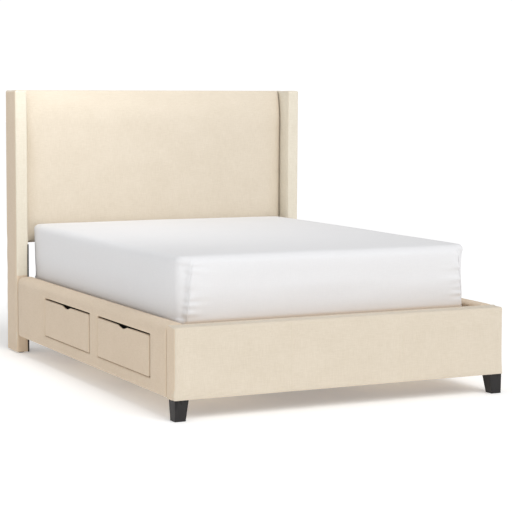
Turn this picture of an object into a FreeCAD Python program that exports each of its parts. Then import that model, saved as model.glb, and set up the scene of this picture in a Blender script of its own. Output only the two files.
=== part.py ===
import FreeCAD, Part
import Sketcher
import os
import re

# Upholstered wing bed with a headboard, a footboard, two side rails, four rail drawers,
# a slatted platform, a mattress and its fitted sheet.
# Frame: +X to the right, +Y towards the headboard, +Z up, millimetres.
# The origin is on the floor at the middle of the bed's bounding box.

doc = FreeCAD.newDocument("WingBed")

# Driving dimensions: name, value in millimetres, meaning.
SIZES = [
    ("mattress_width", 1524, "mattress across"),
    ("mattress_length", 2032, "mattress head to foot"),
    ("mattress_thickness", 299, "mattress depth"),
    ("mattress_corner", 60, "mattress corner radius seen from above"),
    ("mattress_edge", 42, "mattress top and bottom edge radius"),
    ("mattress_side_gap", 7, "mattress to side rail"),
    ("mattress_foot_gap", 79, "mattress to footboard"),
    ("mattress_head_gap", 4, "mattress to headboard pad"),
    ("sheet_thickness", 2.5, "fitted sheet, with its loft"),
    ("sheet_return", 120, "sheet turned under the mattress"),
    ("soft_gap", 0.3, "clearance between soft pieces"),
    ("platform_drop", 24, "top of the slats below the rails' tops"),
    ("slat_thickness", 18, "slat depth"),
    ("slat_width", 80, "slat along the bed"),
    ("slat_margin", 20, "first and last slats from the platform's ends"),
    ("slat_end_gap", 3, "slat end to side rail"),
    ("cleat_thickness", 25, "slat ledge across"),
    ("cleat_depth", 32, "slat ledge height"),
    ("rail_thickness", 84, "side rail with its upholstery"),
    ("rail_depth", 326, "rail and footboard height"),
    ("rail_padding", 14, "foam and fabric on faces and tops"),
    ("rail_fabric", 2, "fabric turned under the rails"),
    ("rail_crown", 30, "outer top edge radius of the padding"),
    ("rail_inner_crown", 12, "inner top edge radius of the padding"),
    ("rail_panel", 12, "plywood face board"),
    ("rail_post", 40, "width of a rail's upright timber"),
    ("joint_plate", 3, "steel plate between a rail's end and its neighbour"),
    ("joint_plate_margin", 8, "plate in from the rail's inner face and its padding"),
    ("joint_plate_height", 200, "plate height"),
    ("joint_plate_rise", 50, "plate above the rail's underside"),
    ("footboard_thickness", 84, "footboard with its upholstery"),
    ("footboard_corner", 14, "footboard upright edge radius"),
    ("footboard_crown", 16, "footboard top edge radius"),
    ("leg_height", 93, "front leg, and the underside of rails and footboard"),
    ("leg_top", 66, "front leg across at the top"),
    ("leg_foot", 51, "front leg across at the floor"),
    ("leg_inset", 11, "front leg in from the footboard's faces"),
    ("leg_outer_taper", 1, "taper of the leg's outer faces"),
    ("leg_bolt_radius", 5, "hanger bolt"),
    ("leg_bolt_length", 80, "hanger bolt, half of it in the leg"),
    ("wing_overhang", 3, "wing beyond the rail's outer face"),
    ("wing_thickness", 70, "wing across"),
    ("wing_depth", 175, "wing front to back"),
    ("wing_padding", 12, "foam and fabric round the wing"),
    ("wing_corner", 9, "wing upright edge radius"),
    ("wing_crown", 7, "wing top edge radius"),
    ("wing_liner", 6, "black board on the wing's inner face"),
    ("wing_liner_inset", 2, "liner back from the wing's front"),
    ("headboard_height", 1424, "top of the wings above the floor"),
    ("headboard_rise", 590, "underside of the headboard panel above the floor"),
    ("headboard_top_drop", 2, "pad top below the wing tops"),
    ("pad_thickness", 51, "headboard pad at its crown"),
    ("pad_wrap", 45, "pad over the headboard frame's top"),
    ("pad_side", 28, "pad side edge radius"),
    ("pad_bottom", 14, "pad lower edge radius"),
    ("pad_roll_height", 190, "height of the pad's rolled top"),
    ("pad_roll_depth", 34, "how far the rolled top falls back"),
    ("headboard_board", 9, "plywood behind the pad"),
    ("headboard_frame", 35, "headboard timbers front to back"),
    ("headboard_back", 4, "fabric covered back board"),
    ("headboard_post", 40, "headboard post across"),
    ("cross_rail_depth", 70, "headboard cross rail height"),
    ("glide_height", 5, "glides under wings and posts"),
    ("glide_radius", 16, "glide"),
    ("glide_inset", 38, "glide centre in from the wing's front and back"),
    ("head_rail_thickness", 38, "timber that carries the platform at the head"),
    ("head_rail_depth", 100, "head rail height"),
    ("beam_thickness", 38, "centre beam across"),
    ("beam_depth", 140, "centre beam height"),
    ("hanger_sheet", 2, "steel of the beam hangers"),
    ("hanger_length", 40, "beam hanger along the beam"),
    ("centre_leg_radius", 22, "centre leg"),
    ("centre_foot_radius", 30, "adjustable foot"),
    ("centre_foot_height", 12, "adjustable foot"),
    ("bearer_thickness", 22, "timber that carries a drawer slide"),
    ("bearer_depth", 100, "bearer height"),
    ("opening_first", 184, "footboard to the first drawer opening"),
    ("opening_width", 652, "drawer opening along the rail"),
    ("opening_divider", 105, "rail between two openings"),
    ("opening_rise", 62, "opening above the rail's underside"),
    ("opening_cap", 68, "opening below the rail's top"),
    ("front_recess", 0, "drawer front behind the rail's face"),
    ("front_thickness", 25, "drawer front with its upholstery"),
    ("front_side_gap", 3.5, "drawer front to the opening's ends"),
    ("front_low_gap", 3, "drawer front to the opening's lower edge"),
    ("front_high_gap", 5, "drawer front to the opening's upper edge"),
    ("front_edge", 4, "drawer front edge radius"),
    ("notch_radius", 115, "finger notch arc"),
    ("notch_depth", 20, "finger notch"),
    ("drawer_depth", 560, "drawer box front to back"),
    ("drawer_rise", 8, "drawer box above the opening's lower edge"),
    ("drawer_headroom", 38, "drawer box below the opening's upper edge"),
    ("drawer_wall", 12, "drawer box wall"),
    ("drawer_bottom", 6, "drawer bottom board"),
    ("drawer_bottom_rise", 8, "bottom board above the walls' lower edge"),
    ("slide_space", 13, "drawer box to the opening's end"),
    ("slide_length", 500, "slide member"),
    ("slide_inset", 4, "slide behind the drawer front"),
    ("slide_height", 45, "outer slide member"),
    ("slide_sheet", 1.5, "slide steel"),
    ("slide_outer_lip", 11, "depth of the outer member"),
    ("slide_middle_start", 3.5, "middle member from the bearer"),
    ("slide_middle_end", 10, "middle member's lips from the bearer"),
    ("slide_middle_height", 37, "middle member"),
    ("slide_inner_plate", 1.3, "inner member's plate on the drawer wall"),
    ("slide_inner_height", 44, "inner member's plate"),
    ("slide_tongue_start", 7, "inner member's tongue from the bearer"),
    ("slide_tongue_height", 20, "inner member's tongue"),
]

# Two positions closer than this agree, in millimetres.
NEAR = 0.01

# A rectangle starts here when its low corner is on the sketch's own axes.
AT_ORIGIN = "on the axis"

# How many of each repeated piece there are.
SLAT_COUNT = 14
CROSS_RAIL_COUNT = 3
OPENINGS = ("foot", "head")

# Where the centre legs stand: between the bearers of each pair of drawers, and near the head.
CENTRE_LEG_BAYS = (
    ("foot_opening_start", "foot_opening_end"),
    ("head_opening_start", "head_opening_end"),
    ("head_opening_end + bearer_thickness", "head_rail_face"),
)

# Places worked out from the driving dimensions. They may use each other.
PLACES = {
    "inner_half": "mattress_width / 2 + mattress_side_gap",
    "rail_half": "inner_half + rail_thickness",
    "wing_half": "rail_half + wing_overhang",
    "wing_inner": "wing_half - wing_thickness",
    "panel_half": "rail_half - rail_padding",
    "timber_half": "panel_half - rail_panel",
    "bed_length": "footboard_thickness + mattress_foot_gap + mattress_length + mattress_head_gap"
                  " + pad_thickness + headboard_board + headboard_frame + headboard_back",
    "foot_face": "-bed_length / 2",
    "back_face": "bed_length / 2",
    "footboard_rear": "foot_face + footboard_thickness",
    "mattress_foot": "footboard_rear + mattress_foot_gap",
    "mattress_head": "mattress_foot + mattress_length",
    "pad_face": "mattress_head + mattress_head_gap",
    "board_face": "pad_face + pad_thickness",
    "frame_face": "board_face + headboard_board",
    "frame_rear": "frame_face + headboard_frame",
    "wing_face": "back_face - wing_depth",
    "rail_foot": "footboard_rear + joint_plate",
    "rail_head": "wing_face - joint_plate",
    "rail_bottom": "leg_height",
    "rail_top": "rail_bottom + rail_depth",
    "platform_height": "rail_top - platform_drop",
    "timber_bottom": "rail_bottom + rail_fabric",
    "timber_top": "rail_top - rail_padding",
    "slat_bottom": "platform_height - slat_thickness",
    "beam_bottom": "slat_bottom - beam_depth",
    "head_rail_face": "frame_face - head_rail_thickness",
    "panel_top": "headboard_height - headboard_top_drop",
    "frame_top": "panel_top - pad_wrap",
    "post_inner": "wing_inner - headboard_post",
    "opening_bottom": "rail_bottom + opening_rise",
    "opening_top": "rail_top - opening_cap",
    "opening_height": "opening_top - opening_bottom",
    "foot_opening_start": "footboard_rear + opening_first",
    "foot_opening_end": "foot_opening_start + opening_width",
    "head_opening_start": "foot_opening_end + opening_divider",
    "head_opening_end": "head_opening_start + opening_width",
    "front_face": "rail_half - front_recess",
    "front_rear": "front_face - front_thickness",
    "box_bottom": "opening_bottom + drawer_rise",
    "box_top": "opening_top - drawer_headroom",
    "box_rear": "front_rear - drawer_depth",
    "slide_front": "front_rear - slide_inset",
    "slide_rear": "slide_front - slide_length",
    "slide_middle_z": "(box_bottom + box_top) / 2",
    "slat_pitch": "(head_rail_face - footboard_rear - 2 * slat_margin - slat_width) / %d" % (SLAT_COUNT - 1),
    "sheet_bottom": "platform_height + soft_gap",
    "mattress_bottom": "sheet_bottom + sheet_thickness + soft_gap",
}

SIZE_NAMES = set()
SUBPARTS = []


# ---------------------------------------------------------------- sheet and expressions

def make_sheet():
    """Write the driving dimensions into a spreadsheet with one alias for each."""
    sheet = doc.addObject("Spreadsheet::Sheet", "Sizes")
    for row, (name, value, meaning) in enumerate(SIZES, start=1):
        sheet.set("A%d" % row, meaning)
        sheet.set("B%d" % row, str(value))
        sheet.setAlias("B%d" % row, name)
        SIZE_NAMES.add(name)
    doc.recompute()


def bound(text):
    """Write an expression of sizes and places out as an expression of the sheet's cells."""
    def spell(match):
        word = match.group(0)
        if word in PLACES:
            return "(" + bound(PLACES[word]) + ")"
        if word in SIZE_NAMES:
            return "Sizes." + word
        raise ValueError("no size or place is called " + word)
    return re.sub(r"[a-z][a-z_]*", spell, text)


def tie(item, prop, text):
    """Bind one property of a document object to the sheet."""
    item.setExpression(prop, bound(text))


def place(item, x="0", y="0", z="0"):
    """Bind an object's position to the sheet."""
    tie(item, "Placement.Base.x", x)
    tie(item, "Placement.Base.y", y)
    tie(item, "Placement.Base.z", z)


def publish(item, label):
    """Mark an object as a sub-part that is written to a file of its own."""
    item.Label = label
    SUBPARTS.append(item)
    return item


# ---------------------------------------------------------------- solids from primitives

def block(name, x, y, z):
    """A box between two places along each axis."""
    box = doc.addObject("Part::Box", name)
    tie(box, "Length", "(%s) - (%s)" % (x[1], x[0]))
    tie(box, "Width", "(%s) - (%s)" % (y[1], y[0]))
    tie(box, "Height", "(%s) - (%s)" % (z[1], z[0]))
    place(box, x[0], y[0], z[0])
    return box


def upright(name, x, y, z, radius):
    """A round bar standing between two heights."""
    bar = doc.addObject("Part::Cylinder", name)
    tie(bar, "Radius", radius)
    tie(bar, "Height", "(%s) - (%s)" % (z[1], z[0]))
    place(bar, x, y, z[0])
    return bar


def group(name, members):
    """Separate solids that share one sub-part."""
    bundle = doc.addObject("Part::Compound", name)
    bundle.Links = members
    return bundle


def cut(name, base, tool):
    """One solid less another."""
    result = doc.addObject("Part::Cut", name)
    result.Base = base
    result.Tool = tool
    return result


def mirrored(source, label):
    """The same piece on the other side of the bed."""
    copy = doc.addObject("Part::Mirroring", label)
    copy.Source = source
    copy.Normal = FreeCAD.Vector(1, 0, 0)
    return publish(copy, label)


# ---------------------------------------------------------------- solids from sketches

def new_body(name, x, y, z):
    """A body whose local origin is bound to a place."""
    body = doc.addObject("PartDesign::Body", name)
    place(body, x, y, z)
    return body


def new_sketch(body, name, plane):
    """A sketch on one of the body's own origin planes."""
    sketch = body.newObject("Sketcher::SketchObject", name)
    for feature in body.Origin.OriginFeatures:
        if feature.Role == plane:
            sketch.AttachmentSupport = (feature, [""])
    sketch.MapMode = "FlatFace"
    return sketch


def add_rectangle(sketch, start, size):
    """A rectangle from its low corner, with each distance bound to the sheet."""
    corners = [(10, 10), (20, 10), (20, 20), (10, 20)]
    first = sketch.GeometryCount
    for index in range(4):
        a = FreeCAD.Vector(*corners[index], 0)
        b = FreeCAD.Vector(*corners[(index + 1) % 4], 0)
        sketch.addGeometry(Part.LineSegment(a, b), False)
    for index in range(4):
        following = first + (index + 1) % 4
        sketch.addConstraint(Sketcher.Constraint("Coincident", first + index, 2, following, 1))
    sketch.addConstraint(Sketcher.Constraint("Horizontal", first))
    sketch.addConstraint(Sketcher.Constraint("Horizontal", first + 2))
    sketch.addConstraint(Sketcher.Constraint("Vertical", first + 1))
    sketch.addConstraint(Sketcher.Constraint("Vertical", first + 3))
    for kind, text, axis in zip(("DistanceX", "DistanceY"), start, (-2, -1)):
        if text == AT_ORIGIN:
            sketch.addConstraint(Sketcher.Constraint("PointOnObject", first, 1, axis))
        else:
            offset = sketch.addConstraint(Sketcher.Constraint(kind, -1, 1, first, 1, 10))
            tie(sketch, "Constraints[%d]" % offset, text)
    width = sketch.addConstraint(Sketcher.Constraint("DistanceX", first, 1, first, 2, 10))
    height = sketch.addConstraint(Sketcher.Constraint("DistanceY", first + 1, 1, first + 1, 2, 10))
    tie(sketch, "Constraints[%d]" % width, size[0])
    tie(sketch, "Constraints[%d]" % height, size[1])


def add_circle(sketch, centre, radius):
    """A circle with its centre and radius bound to the sheet."""
    circle = sketch.addGeometry(Part.Circle(FreeCAD.Vector(10, 10, 0), FreeCAD.Vector(0, 0, 1), 5), False)
    across = sketch.addConstraint(Sketcher.Constraint("DistanceX", -1, 1, circle, 3, 10))
    up = sketch.addConstraint(Sketcher.Constraint("DistanceY", -1, 1, circle, 3, 10))
    size = sketch.addConstraint(Sketcher.Constraint("Radius", circle, 5))
    tie(sketch, "Constraints[%d]" % across, centre[0])
    tie(sketch, "Constraints[%d]" % up, centre[1])
    tie(sketch, "Constraints[%d]" % size, radius)


def pad(body, sketch, length, reverse=False):
    """Extrude a sketch into the body."""
    feature = body.newObject("PartDesign::Pad", sketch.Name + "_pad")
    feature.Profile = sketch
    feature.Reversed = reverse
    tie(feature, "Length", length)
    return feature


def pocket(body, sketch, length, reverse=False):
    """Cut a sketch out of the body, and make sure that it removes something."""
    doc.recompute()
    before = body.Shape.Volume
    feature = body.newObject("PartDesign::Pocket", sketch.Name + "_pocket")
    feature.Profile = sketch
    feature.Reversed = reverse
    tie(feature, "Length", length)
    doc.recompute()
    if body.Shape.Volume >= before:
        raise ValueError(feature.Name + " cuts nothing")
    return feature


def round_edges(body, radius, chosen):
    """Fillet the body's edges that a test picks by their box and the body's box."""
    doc.recompute()
    base = body.Tip
    whole = base.Shape.BoundBox
    names = []
    for number, edge in enumerate(base.Shape.Edges, start=1):
        if chosen(edge.BoundBox, whole):
            names.append("Edge%d" % number)
    if not names:
        raise ValueError("no edge to round on " + body.Name)
    feature = body.newObject("PartDesign::Fillet", body.Name + "_round")
    feature.Base = (base, names)
    tie(feature, "Radius", radius)
    return feature


def same(a, b):
    """Two positions that agree."""
    return abs(a - b) < NEAR


def is_upright(edge):
    """An edge that runs straight up."""
    return edge.ZLength > NEAR and edge.XLength < NEAR and edge.YLength < NEAR


# ---------------------------------------------------------------- wings

def make_wing():
    """Left wing: a core board, the padded cover over it and the black liner inside."""
    left_outer = "-(wing_half)"
    height = "headboard_height - glide_height"
    body = new_body("wing_cover_left", left_outer, "wing_face", "glide_height")
    outline = new_sketch(body, "wing_outline", "XY_Plane")
    add_rectangle(outline, (AT_ORIGIN, AT_ORIGIN), ("wing_thickness", "wing_depth"))
    pad(body, outline, height)
    round_edges(body, "wing_corner", lambda edge, whole: is_upright(edge))
    round_edges(body, "wing_crown", lambda edge, whole: same(edge.ZMin, whole.ZMax))
    core = new_sketch(body, "wing_core_seat", "XY_Plane")
    core_size = ("wing_thickness - 2 * wing_padding", "wing_depth - 2 * wing_padding")
    add_rectangle(core, ("wing_padding", "wing_padding"), core_size)
    pocket(body, core, height + " - wing_padding", reverse=True)
    liner = new_sketch(body, "wing_liner_seat", "XY_Plane")
    liner_start = ("wing_thickness - wing_liner", "wing_liner_inset")
    add_rectangle(liner, liner_start, ("wing_liner", "wing_depth - wing_liner_inset"))
    pocket(body, liner, "headboard_rise - glide_height", reverse=True)
    publish(body, "wing_cover_left")
    core_board = block(
        "wing_core_left",
        ("-(wing_half - wing_padding)", "-(wing_inner + wing_padding)"),
        ("wing_face + wing_padding", "back_face - wing_padding"),
        ("glide_height", "headboard_height - wing_padding"))
    publish(core_board, "wing_core_left")
    liner_board = block(
        "wing_liner_left",
        ("-(wing_inner + wing_liner)", "-(wing_inner)"),
        ("wing_face + wing_liner_inset", "back_face"),
        ("glide_height", "headboard_rise"))
    publish(liner_board, "wing_liner_left")
    for item in (body, core_board, liner_board):
        mirrored(item, item.Label.replace("left", "right"))


def make_glides():
    """Glides under the wings and the headboard posts."""
    wing_middle = "(wing_half + wing_inner) / 2"
    spots = [
        (wing_middle, "wing_face + glide_inset"),
        (wing_middle, "back_face - glide_inset"),
        ("wing_inner - headboard_post / 2", "(frame_face + frame_rear) / 2"),
    ]
    members = []
    for sign in ("-", "+"):
        for x, y in spots:
            name = "glide_%d" % len(members)
            members.append(upright(name, "%s(%s)" % (sign, x), y, ("0", "glide_height"), "glide_radius"))
    publish(group("head_glides", members), "head_glides")


# ---------------------------------------------------------------- headboard

def make_headboard_pad():
    """Front pad: flat face, rolled top that wraps over the frame, soft side edges."""
    body = new_body("headboard_pad", "-(wing_inner - soft_gap)", "pad_face", "headboard_rise")
    profile = new_sketch(body, "pad_profile", "YZ_Plane")
    height = "panel_top - headboard_rise"
    total = "pad_thickness + headboard_board + headboard_frame"
    # Corners in order, each with a rough place and the distances that hold it.
    corners = [
        ((0, 0), (None, None)),
        ((0, 600), (None, height + " - pad_roll_height")),
        ((60, 800), ("pad_roll_depth", height)),
        ((95, 800), (total, height)),
        ((95, 790), (total, height + " - pad_wrap")),
        ((51, 790), ("pad_thickness", height + " - pad_wrap")),
        ((51, 0), ("pad_thickness", None)),
    ]
    roll = 1
    bulge = FreeCAD.Vector(12, 705, 0)
    for index, (rough, held) in enumerate(corners):
        following = corners[(index + 1) % len(corners)][0]
        a = FreeCAD.Vector(*rough, 0)
        b = FreeCAD.Vector(*following, 0)
        edge = Part.Arc(a, bulge, b) if index == roll else Part.LineSegment(a, b)
        profile.addGeometry(edge, False)
    # The roll turns clockwise, and a sketch numbers the ends of an arc anticlockwise.
    starts = [(index, 2 if index == roll else 1) for index in range(len(corners))]
    ends = [(index, 1 if index == roll else 2) for index in range(len(corners))]
    for index in range(len(corners)):
        if index != roll - 1:
            following = starts[(index + 1) % len(corners)]
            profile.addConstraint(Sketcher.Constraint("Coincident", *ends[index], *following))
    profile.addConstraint(Sketcher.Constraint("Tangent", *ends[roll - 1], *starts[roll]))
    profile.addConstraint(Sketcher.Constraint("Coincident", *starts[0], -1, 1))
    profile.addConstraint(Sketcher.Constraint("Vertical", roll - 1))
    profile.addConstraint(Sketcher.Constraint("Horizontal", len(corners) - 1))
    for index, (rough, held) in enumerate(corners):
        for kind, text in zip(("DistanceX", "DistanceY"), held):
            if text is not None:
                number = profile.addConstraint(Sketcher.Constraint(kind, -1, 1, *starts[index], 10))
                tie(profile, "Constraints[%d]" % number, text)
    pad(body, profile, "2 * (wing_inner - soft_gap)")

    def on_lower_front(edge, whole):
        return same(edge.ZMax, whole.ZMin) and same(edge.YMax, whole.YMin)

    def on_front_side(edge, whole):
        at_side = same(edge.XMax, whole.XMin) or same(edge.XMin, whole.XMax)
        return at_side and edge.ZLength > NEAR and edge.YMin < whole.YMin + NEAR

    round_edges(body, "pad_bottom", on_lower_front)
    round_edges(body, "pad_side", on_front_side)
    publish(body, "headboard_pad")


def make_headboard():
    """Posts, cross rails, plywood front and fabric covered back of the headboard."""
    post = block(
        "headboard_post_left",
        ("-(wing_inner)", "-(post_inner)"),
        ("frame_face", "frame_rear"),
        ("glide_height", "frame_top"))
    publish(post, "headboard_post_left")
    mirrored(post, "headboard_post_right")
    span = "(frame_top - headboard_rise - cross_rail_depth) / %d" % (CROSS_RAIL_COUNT - 1)
    rails = []
    for index in range(CROSS_RAIL_COUNT):
        low = "headboard_rise + %d * %s" % (index, span)
        rails.append(block(
            "cross_rail_%d" % index,
            ("-(post_inner)", "post_inner"),
            ("frame_face", "frame_rear"),
            (low, low + " + cross_rail_depth")))
    publish(group("headboard_cross_rails", rails), "headboard_cross_rails")
    board = block(
        "headboard_front_board",
        ("-(wing_inner - soft_gap)", "wing_inner - soft_gap"),
        ("board_face", "frame_face"),
        ("headboard_rise", "frame_top"))
    publish(board, "headboard_front_board")
    back = block(
        "headboard_back_cover",
        ("-(wing_inner - soft_gap)", "wing_inner - soft_gap"),
        ("frame_rear", "back_face"),
        ("headboard_rise", "panel_top"))
    publish(back, "headboard_back_cover")
    head_rail = block(
        "head_rail",
        ("-(wing_inner)", "wing_inner"),
        ("head_rail_face", "frame_face"),
        ("slat_bottom - head_rail_depth", "slat_bottom"))
    publish(head_rail, "head_rail")


# ---------------------------------------------------------------- side rails

def make_rail_cover():
    """Padded cover of the left rail, open on its inner face and at both drawer openings."""
    body = new_body("side_rail_cover_left", "-(rail_half)", "rail_foot", "rail_bottom")
    outline = new_sketch(body, "rail_outline", "XY_Plane")
    add_rectangle(outline, (AT_ORIGIN, AT_ORIGIN), ("rail_thickness", "rail_head - rail_foot"))
    pad(body, outline, "rail_depth")

    def on_outer_top(edge, whole):
        return same(edge.ZMin, whole.ZMax) and same(edge.XMax, whole.XMin)

    def on_inner_top(edge, whole):
        return same(edge.ZMin, whole.ZMax) and same(edge.XMin, whole.XMax)

    round_edges(body, "rail_crown", on_outer_top)
    round_edges(body, "rail_inner_crown", on_inner_top)
    seat = new_sketch(body, "rail_seat", "YZ_Plane")
    seat_height = "rail_depth - rail_fabric - rail_padding"
    tie(seat, ".AttachmentOffset.Base.z", "rail_padding")
    add_rectangle(seat, (AT_ORIGIN, "rail_fabric"), ("rail_head - rail_foot", seat_height))
    pocket(body, seat, "rail_thickness", reverse=True)
    for end in OPENINGS:
        opening = new_sketch(body, "rail_opening_" + end, "YZ_Plane")
        start = "%s_opening_start - rail_foot" % end
        add_rectangle(opening, (start, "opening_rise"), ("opening_width", "opening_height"))
        pocket(body, opening, "rail_padding", reverse=True)
    publish(body, "side_rail_cover_left")
    return body


def make_rail_panel():
    """Plywood face board of the left rail, with both drawer openings."""
    body = new_body("side_rail_panel_left", "-(panel_half)", "rail_foot", "timber_bottom")
    outline = new_sketch(body, "panel_outline", "YZ_Plane")
    add_rectangle(outline, (AT_ORIGIN, AT_ORIGIN), ("rail_head - rail_foot", "timber_top - timber_bottom"))
    pad(body, outline, "rail_panel")
    for end in OPENINGS:
        opening = new_sketch(body, "panel_opening_" + end, "YZ_Plane")
        start = "%s_opening_start - rail_foot" % end
        add_rectangle(opening, (start, "opening_rise - rail_fabric"), ("opening_width", "opening_height"))
        pocket(body, opening, "rail_panel", reverse=True)
    publish(body, "side_rail_panel_left")
    return body


def make_rail_timbers():
    """Upper and lower timbers of the left rail, with uprights beside each opening."""
    across = ("-(timber_half)", "-(inner_half)")
    along = ("rail_foot", "rail_head")
    members = [
        block("rail_low_timber", across, along, ("timber_bottom", "opening_bottom")),
        block("rail_high_timber", across, along, ("opening_top", "timber_top")),
    ]
    uprights = [
        ("rail_foot", "rail_foot + rail_post"),
        ("foot_opening_start - rail_post", "foot_opening_start"),
        ("foot_opening_end", "head_opening_start"),
        ("head_opening_end", "head_opening_end + rail_post"),
        ("rail_head - rail_post", "rail_head"),
    ]
    height = ("opening_bottom", "opening_top")
    for span in uprights:
        members.append(block("rail_upright_%d" % len(members), across, span, height))
    return publish(group("side_rail_timbers_left", members), "side_rail_timbers_left")


def make_side_rails():
    """Both side rails, their slat ledges and the steel plates at their ends."""
    cleat = block(
        "slat_cleat_left",
        ("-(inner_half)", "-(inner_half - cleat_thickness)"),
        ("rail_foot", "head_rail_face"),
        ("slat_bottom - cleat_depth", "slat_bottom"))
    publish(cleat, "slat_cleat_left")
    for item in (make_rail_timbers(), make_rail_panel(), make_rail_cover(), cleat):
        mirrored(item, item.Label.replace("left", "right"))
    plates = []
    low = "rail_bottom + joint_plate_rise"
    near_edge = "inner_half + joint_plate_margin"
    far_edge = "panel_half - joint_plate_margin"
    for x in (("-(%s)" % far_edge, "-(%s)" % near_edge), (near_edge, far_edge)):
        for y in (("footboard_rear", "rail_foot"), ("rail_head", "wing_face")):
            name = "joint_plate_%d" % len(plates)
            plates.append(block(name, x, y, (low, low + " + joint_plate_height")))
    publish(group("rail_joint_plates", plates), "rail_joint_plates")


# ---------------------------------------------------------------- footboard and front legs

def make_footboard_cover():
    """Padded cover of the footboard, open at its rear face."""
    body = new_body("footboard_cover", "-(rail_half)", "foot_face", "rail_bottom")
    outline = new_sketch(body, "footboard_outline", "XY_Plane")
    add_rectangle(outline, (AT_ORIGIN, AT_ORIGIN), ("2 * rail_half", "footboard_thickness"))
    pad(body, outline, "rail_depth")

    def on_front_corner(edge, whole):
        return is_upright(edge) and same(edge.YMin, whole.YMin)

    def on_top_but_rear(edge, whole):
        return same(edge.ZMin, whole.ZMax) and edge.YMin < whole.YMax - NEAR

    round_edges(body, "footboard_corner", on_front_corner)
    round_edges(body, "footboard_crown", on_top_but_rear)
    seat = new_sketch(body, "footboard_seat", "XY_Plane")
    seat_width = "2 * panel_half"
    tie(seat, ".AttachmentOffset.Base.z", "rail_fabric")
    add_rectangle(seat, ("rail_padding", "rail_padding"), (seat_width, "footboard_thickness"))
    pocket(body, seat, "rail_depth - rail_fabric - rail_padding", reverse=True)
    return publish(body, "footboard_cover")


def make_footboard():
    """Footboard timbers, face board and cover."""
    panel_face = "foot_face + rail_padding"
    timber_face = panel_face + " + rail_panel"
    panel = block(
        "footboard_panel",
        ("-(panel_half)", "panel_half"),
        (panel_face, timber_face),
        ("timber_bottom", "timber_top"))
    publish(panel, "footboard_panel")
    depth = (timber_face, "footboard_rear")
    across = ("-(panel_half)", "panel_half")
    members = [
        block("footboard_low_timber", across, depth, ("timber_bottom", "opening_bottom")),
        block("footboard_high_timber", across, depth, ("opening_top", "timber_top")),
    ]
    uprights = [
        ("-(panel_half)", "-(inner_half)"),
        ("-(rail_post)", "rail_post"),
        ("inner_half", "panel_half"),
    ]
    height = ("opening_bottom", "opening_top")
    for span in uprights:
        members.append(block("footboard_upright_%d" % len(members), span, depth, height))
    publish(group("footboard_timbers", members), "footboard_timbers")
    make_footboard_cover()


def make_front_leg():
    """Tapered block leg at the foot end, and its hanger bolt."""
    leg = doc.addObject("Part::Wedge", "front_leg_left")
    tie(leg, "Ymin", "0")
    tie(leg, "Ymax", "leg_height")
    tie(leg, "Xmin", "leg_outer_taper")
    tie(leg, "Xmax", "leg_outer_taper + leg_foot")
    tie(leg, "X2min", "0")
    tie(leg, "X2max", "leg_top")
    tie(leg, "Zmin", "-(leg_outer_taper + leg_foot)")
    tie(leg, "Zmax", "-leg_outer_taper")
    tie(leg, "Z2min", "-leg_top")
    tie(leg, "Z2max", "0")
    leg.Placement.Rotation = FreeCAD.Rotation(FreeCAD.Vector(1, 0, 0), 90)
    place(leg, "-(rail_half - leg_inset)", "foot_face + leg_inset", "rail_bottom - leg_height")
    publish(leg, "front_leg_left")
    mirrored(leg, "front_leg_right")
    centre = "leg_inset + leg_top / 2"
    bolts = []
    for sign in ("-", "+"):
        x = "%s(rail_half - (%s))" % (sign, centre)
        height = ("rail_bottom - leg_bolt_length / 2", "rail_bottom + leg_bolt_length / 2")
        name = "leg_bolt_%d" % len(bolts)
        bolts.append(upright(name, x, "foot_face + " + centre, height, "leg_bolt_radius"))
    publish(group("leg_bolts", bolts), "leg_bolts")


# ---------------------------------------------------------------- platform

def make_platform():
    """Centre beam with its legs, feet and hangers, and the slats."""
    beam_half = "beam_thickness / 2"
    beam = block(
        "centre_beam",
        ("-(%s)" % beam_half, beam_half),
        ("footboard_rear", "head_rail_face"),
        ("beam_bottom", "slat_bottom"))
    publish(beam, "centre_beam")
    legs = []
    feet = []
    for index, bay in enumerate(CENTRE_LEG_BAYS):
        y = "(%s + %s) / 2" % bay
        legs.append(upright("centre_leg_%d" % index, "0", y, ("centre_foot_height", "beam_bottom"),
                            "centre_leg_radius"))
        feet.append(upright("centre_foot_%d" % index, "0", y, ("0", "centre_foot_height"),
                            "centre_foot_radius"))
    publish(group("centre_legs", legs), "centre_legs")
    publish(group("centre_feet", feet), "centre_feet")
    hangers = []
    low = "beam_bottom - hanger_sheet"
    for y in (("footboard_rear", "footboard_rear + hanger_length"),
              ("head_rail_face - hanger_length", "head_rail_face")):
        outer = block("hanger_outer_%d" % len(hangers),
                      ("-(%s + hanger_sheet)" % beam_half, "%s + hanger_sheet" % beam_half),
                      y, (low, "beam_bottom + beam_depth / 2"))
        inner = block("hanger_inner_%d" % len(hangers),
                      ("-(%s)" % beam_half, beam_half), y, ("beam_bottom", "slat_bottom"))
        hangers.append(cut("hanger_%d" % len(hangers), outer, inner))
    publish(group("beam_hangers", hangers), "beam_hangers")
    slats = []
    for index in range(SLAT_COUNT):
        low_y = "footboard_rear + slat_margin + %d * slat_pitch" % index
        slats.append(block(
            "slat_%d" % index,
            ("-(inner_half - slat_end_gap)", "inner_half - slat_end_gap"),
            (low_y, low_y + " + slat_width"),
            ("slat_bottom", "platform_height")))
    publish(group("slats", slats), "slats")


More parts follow.
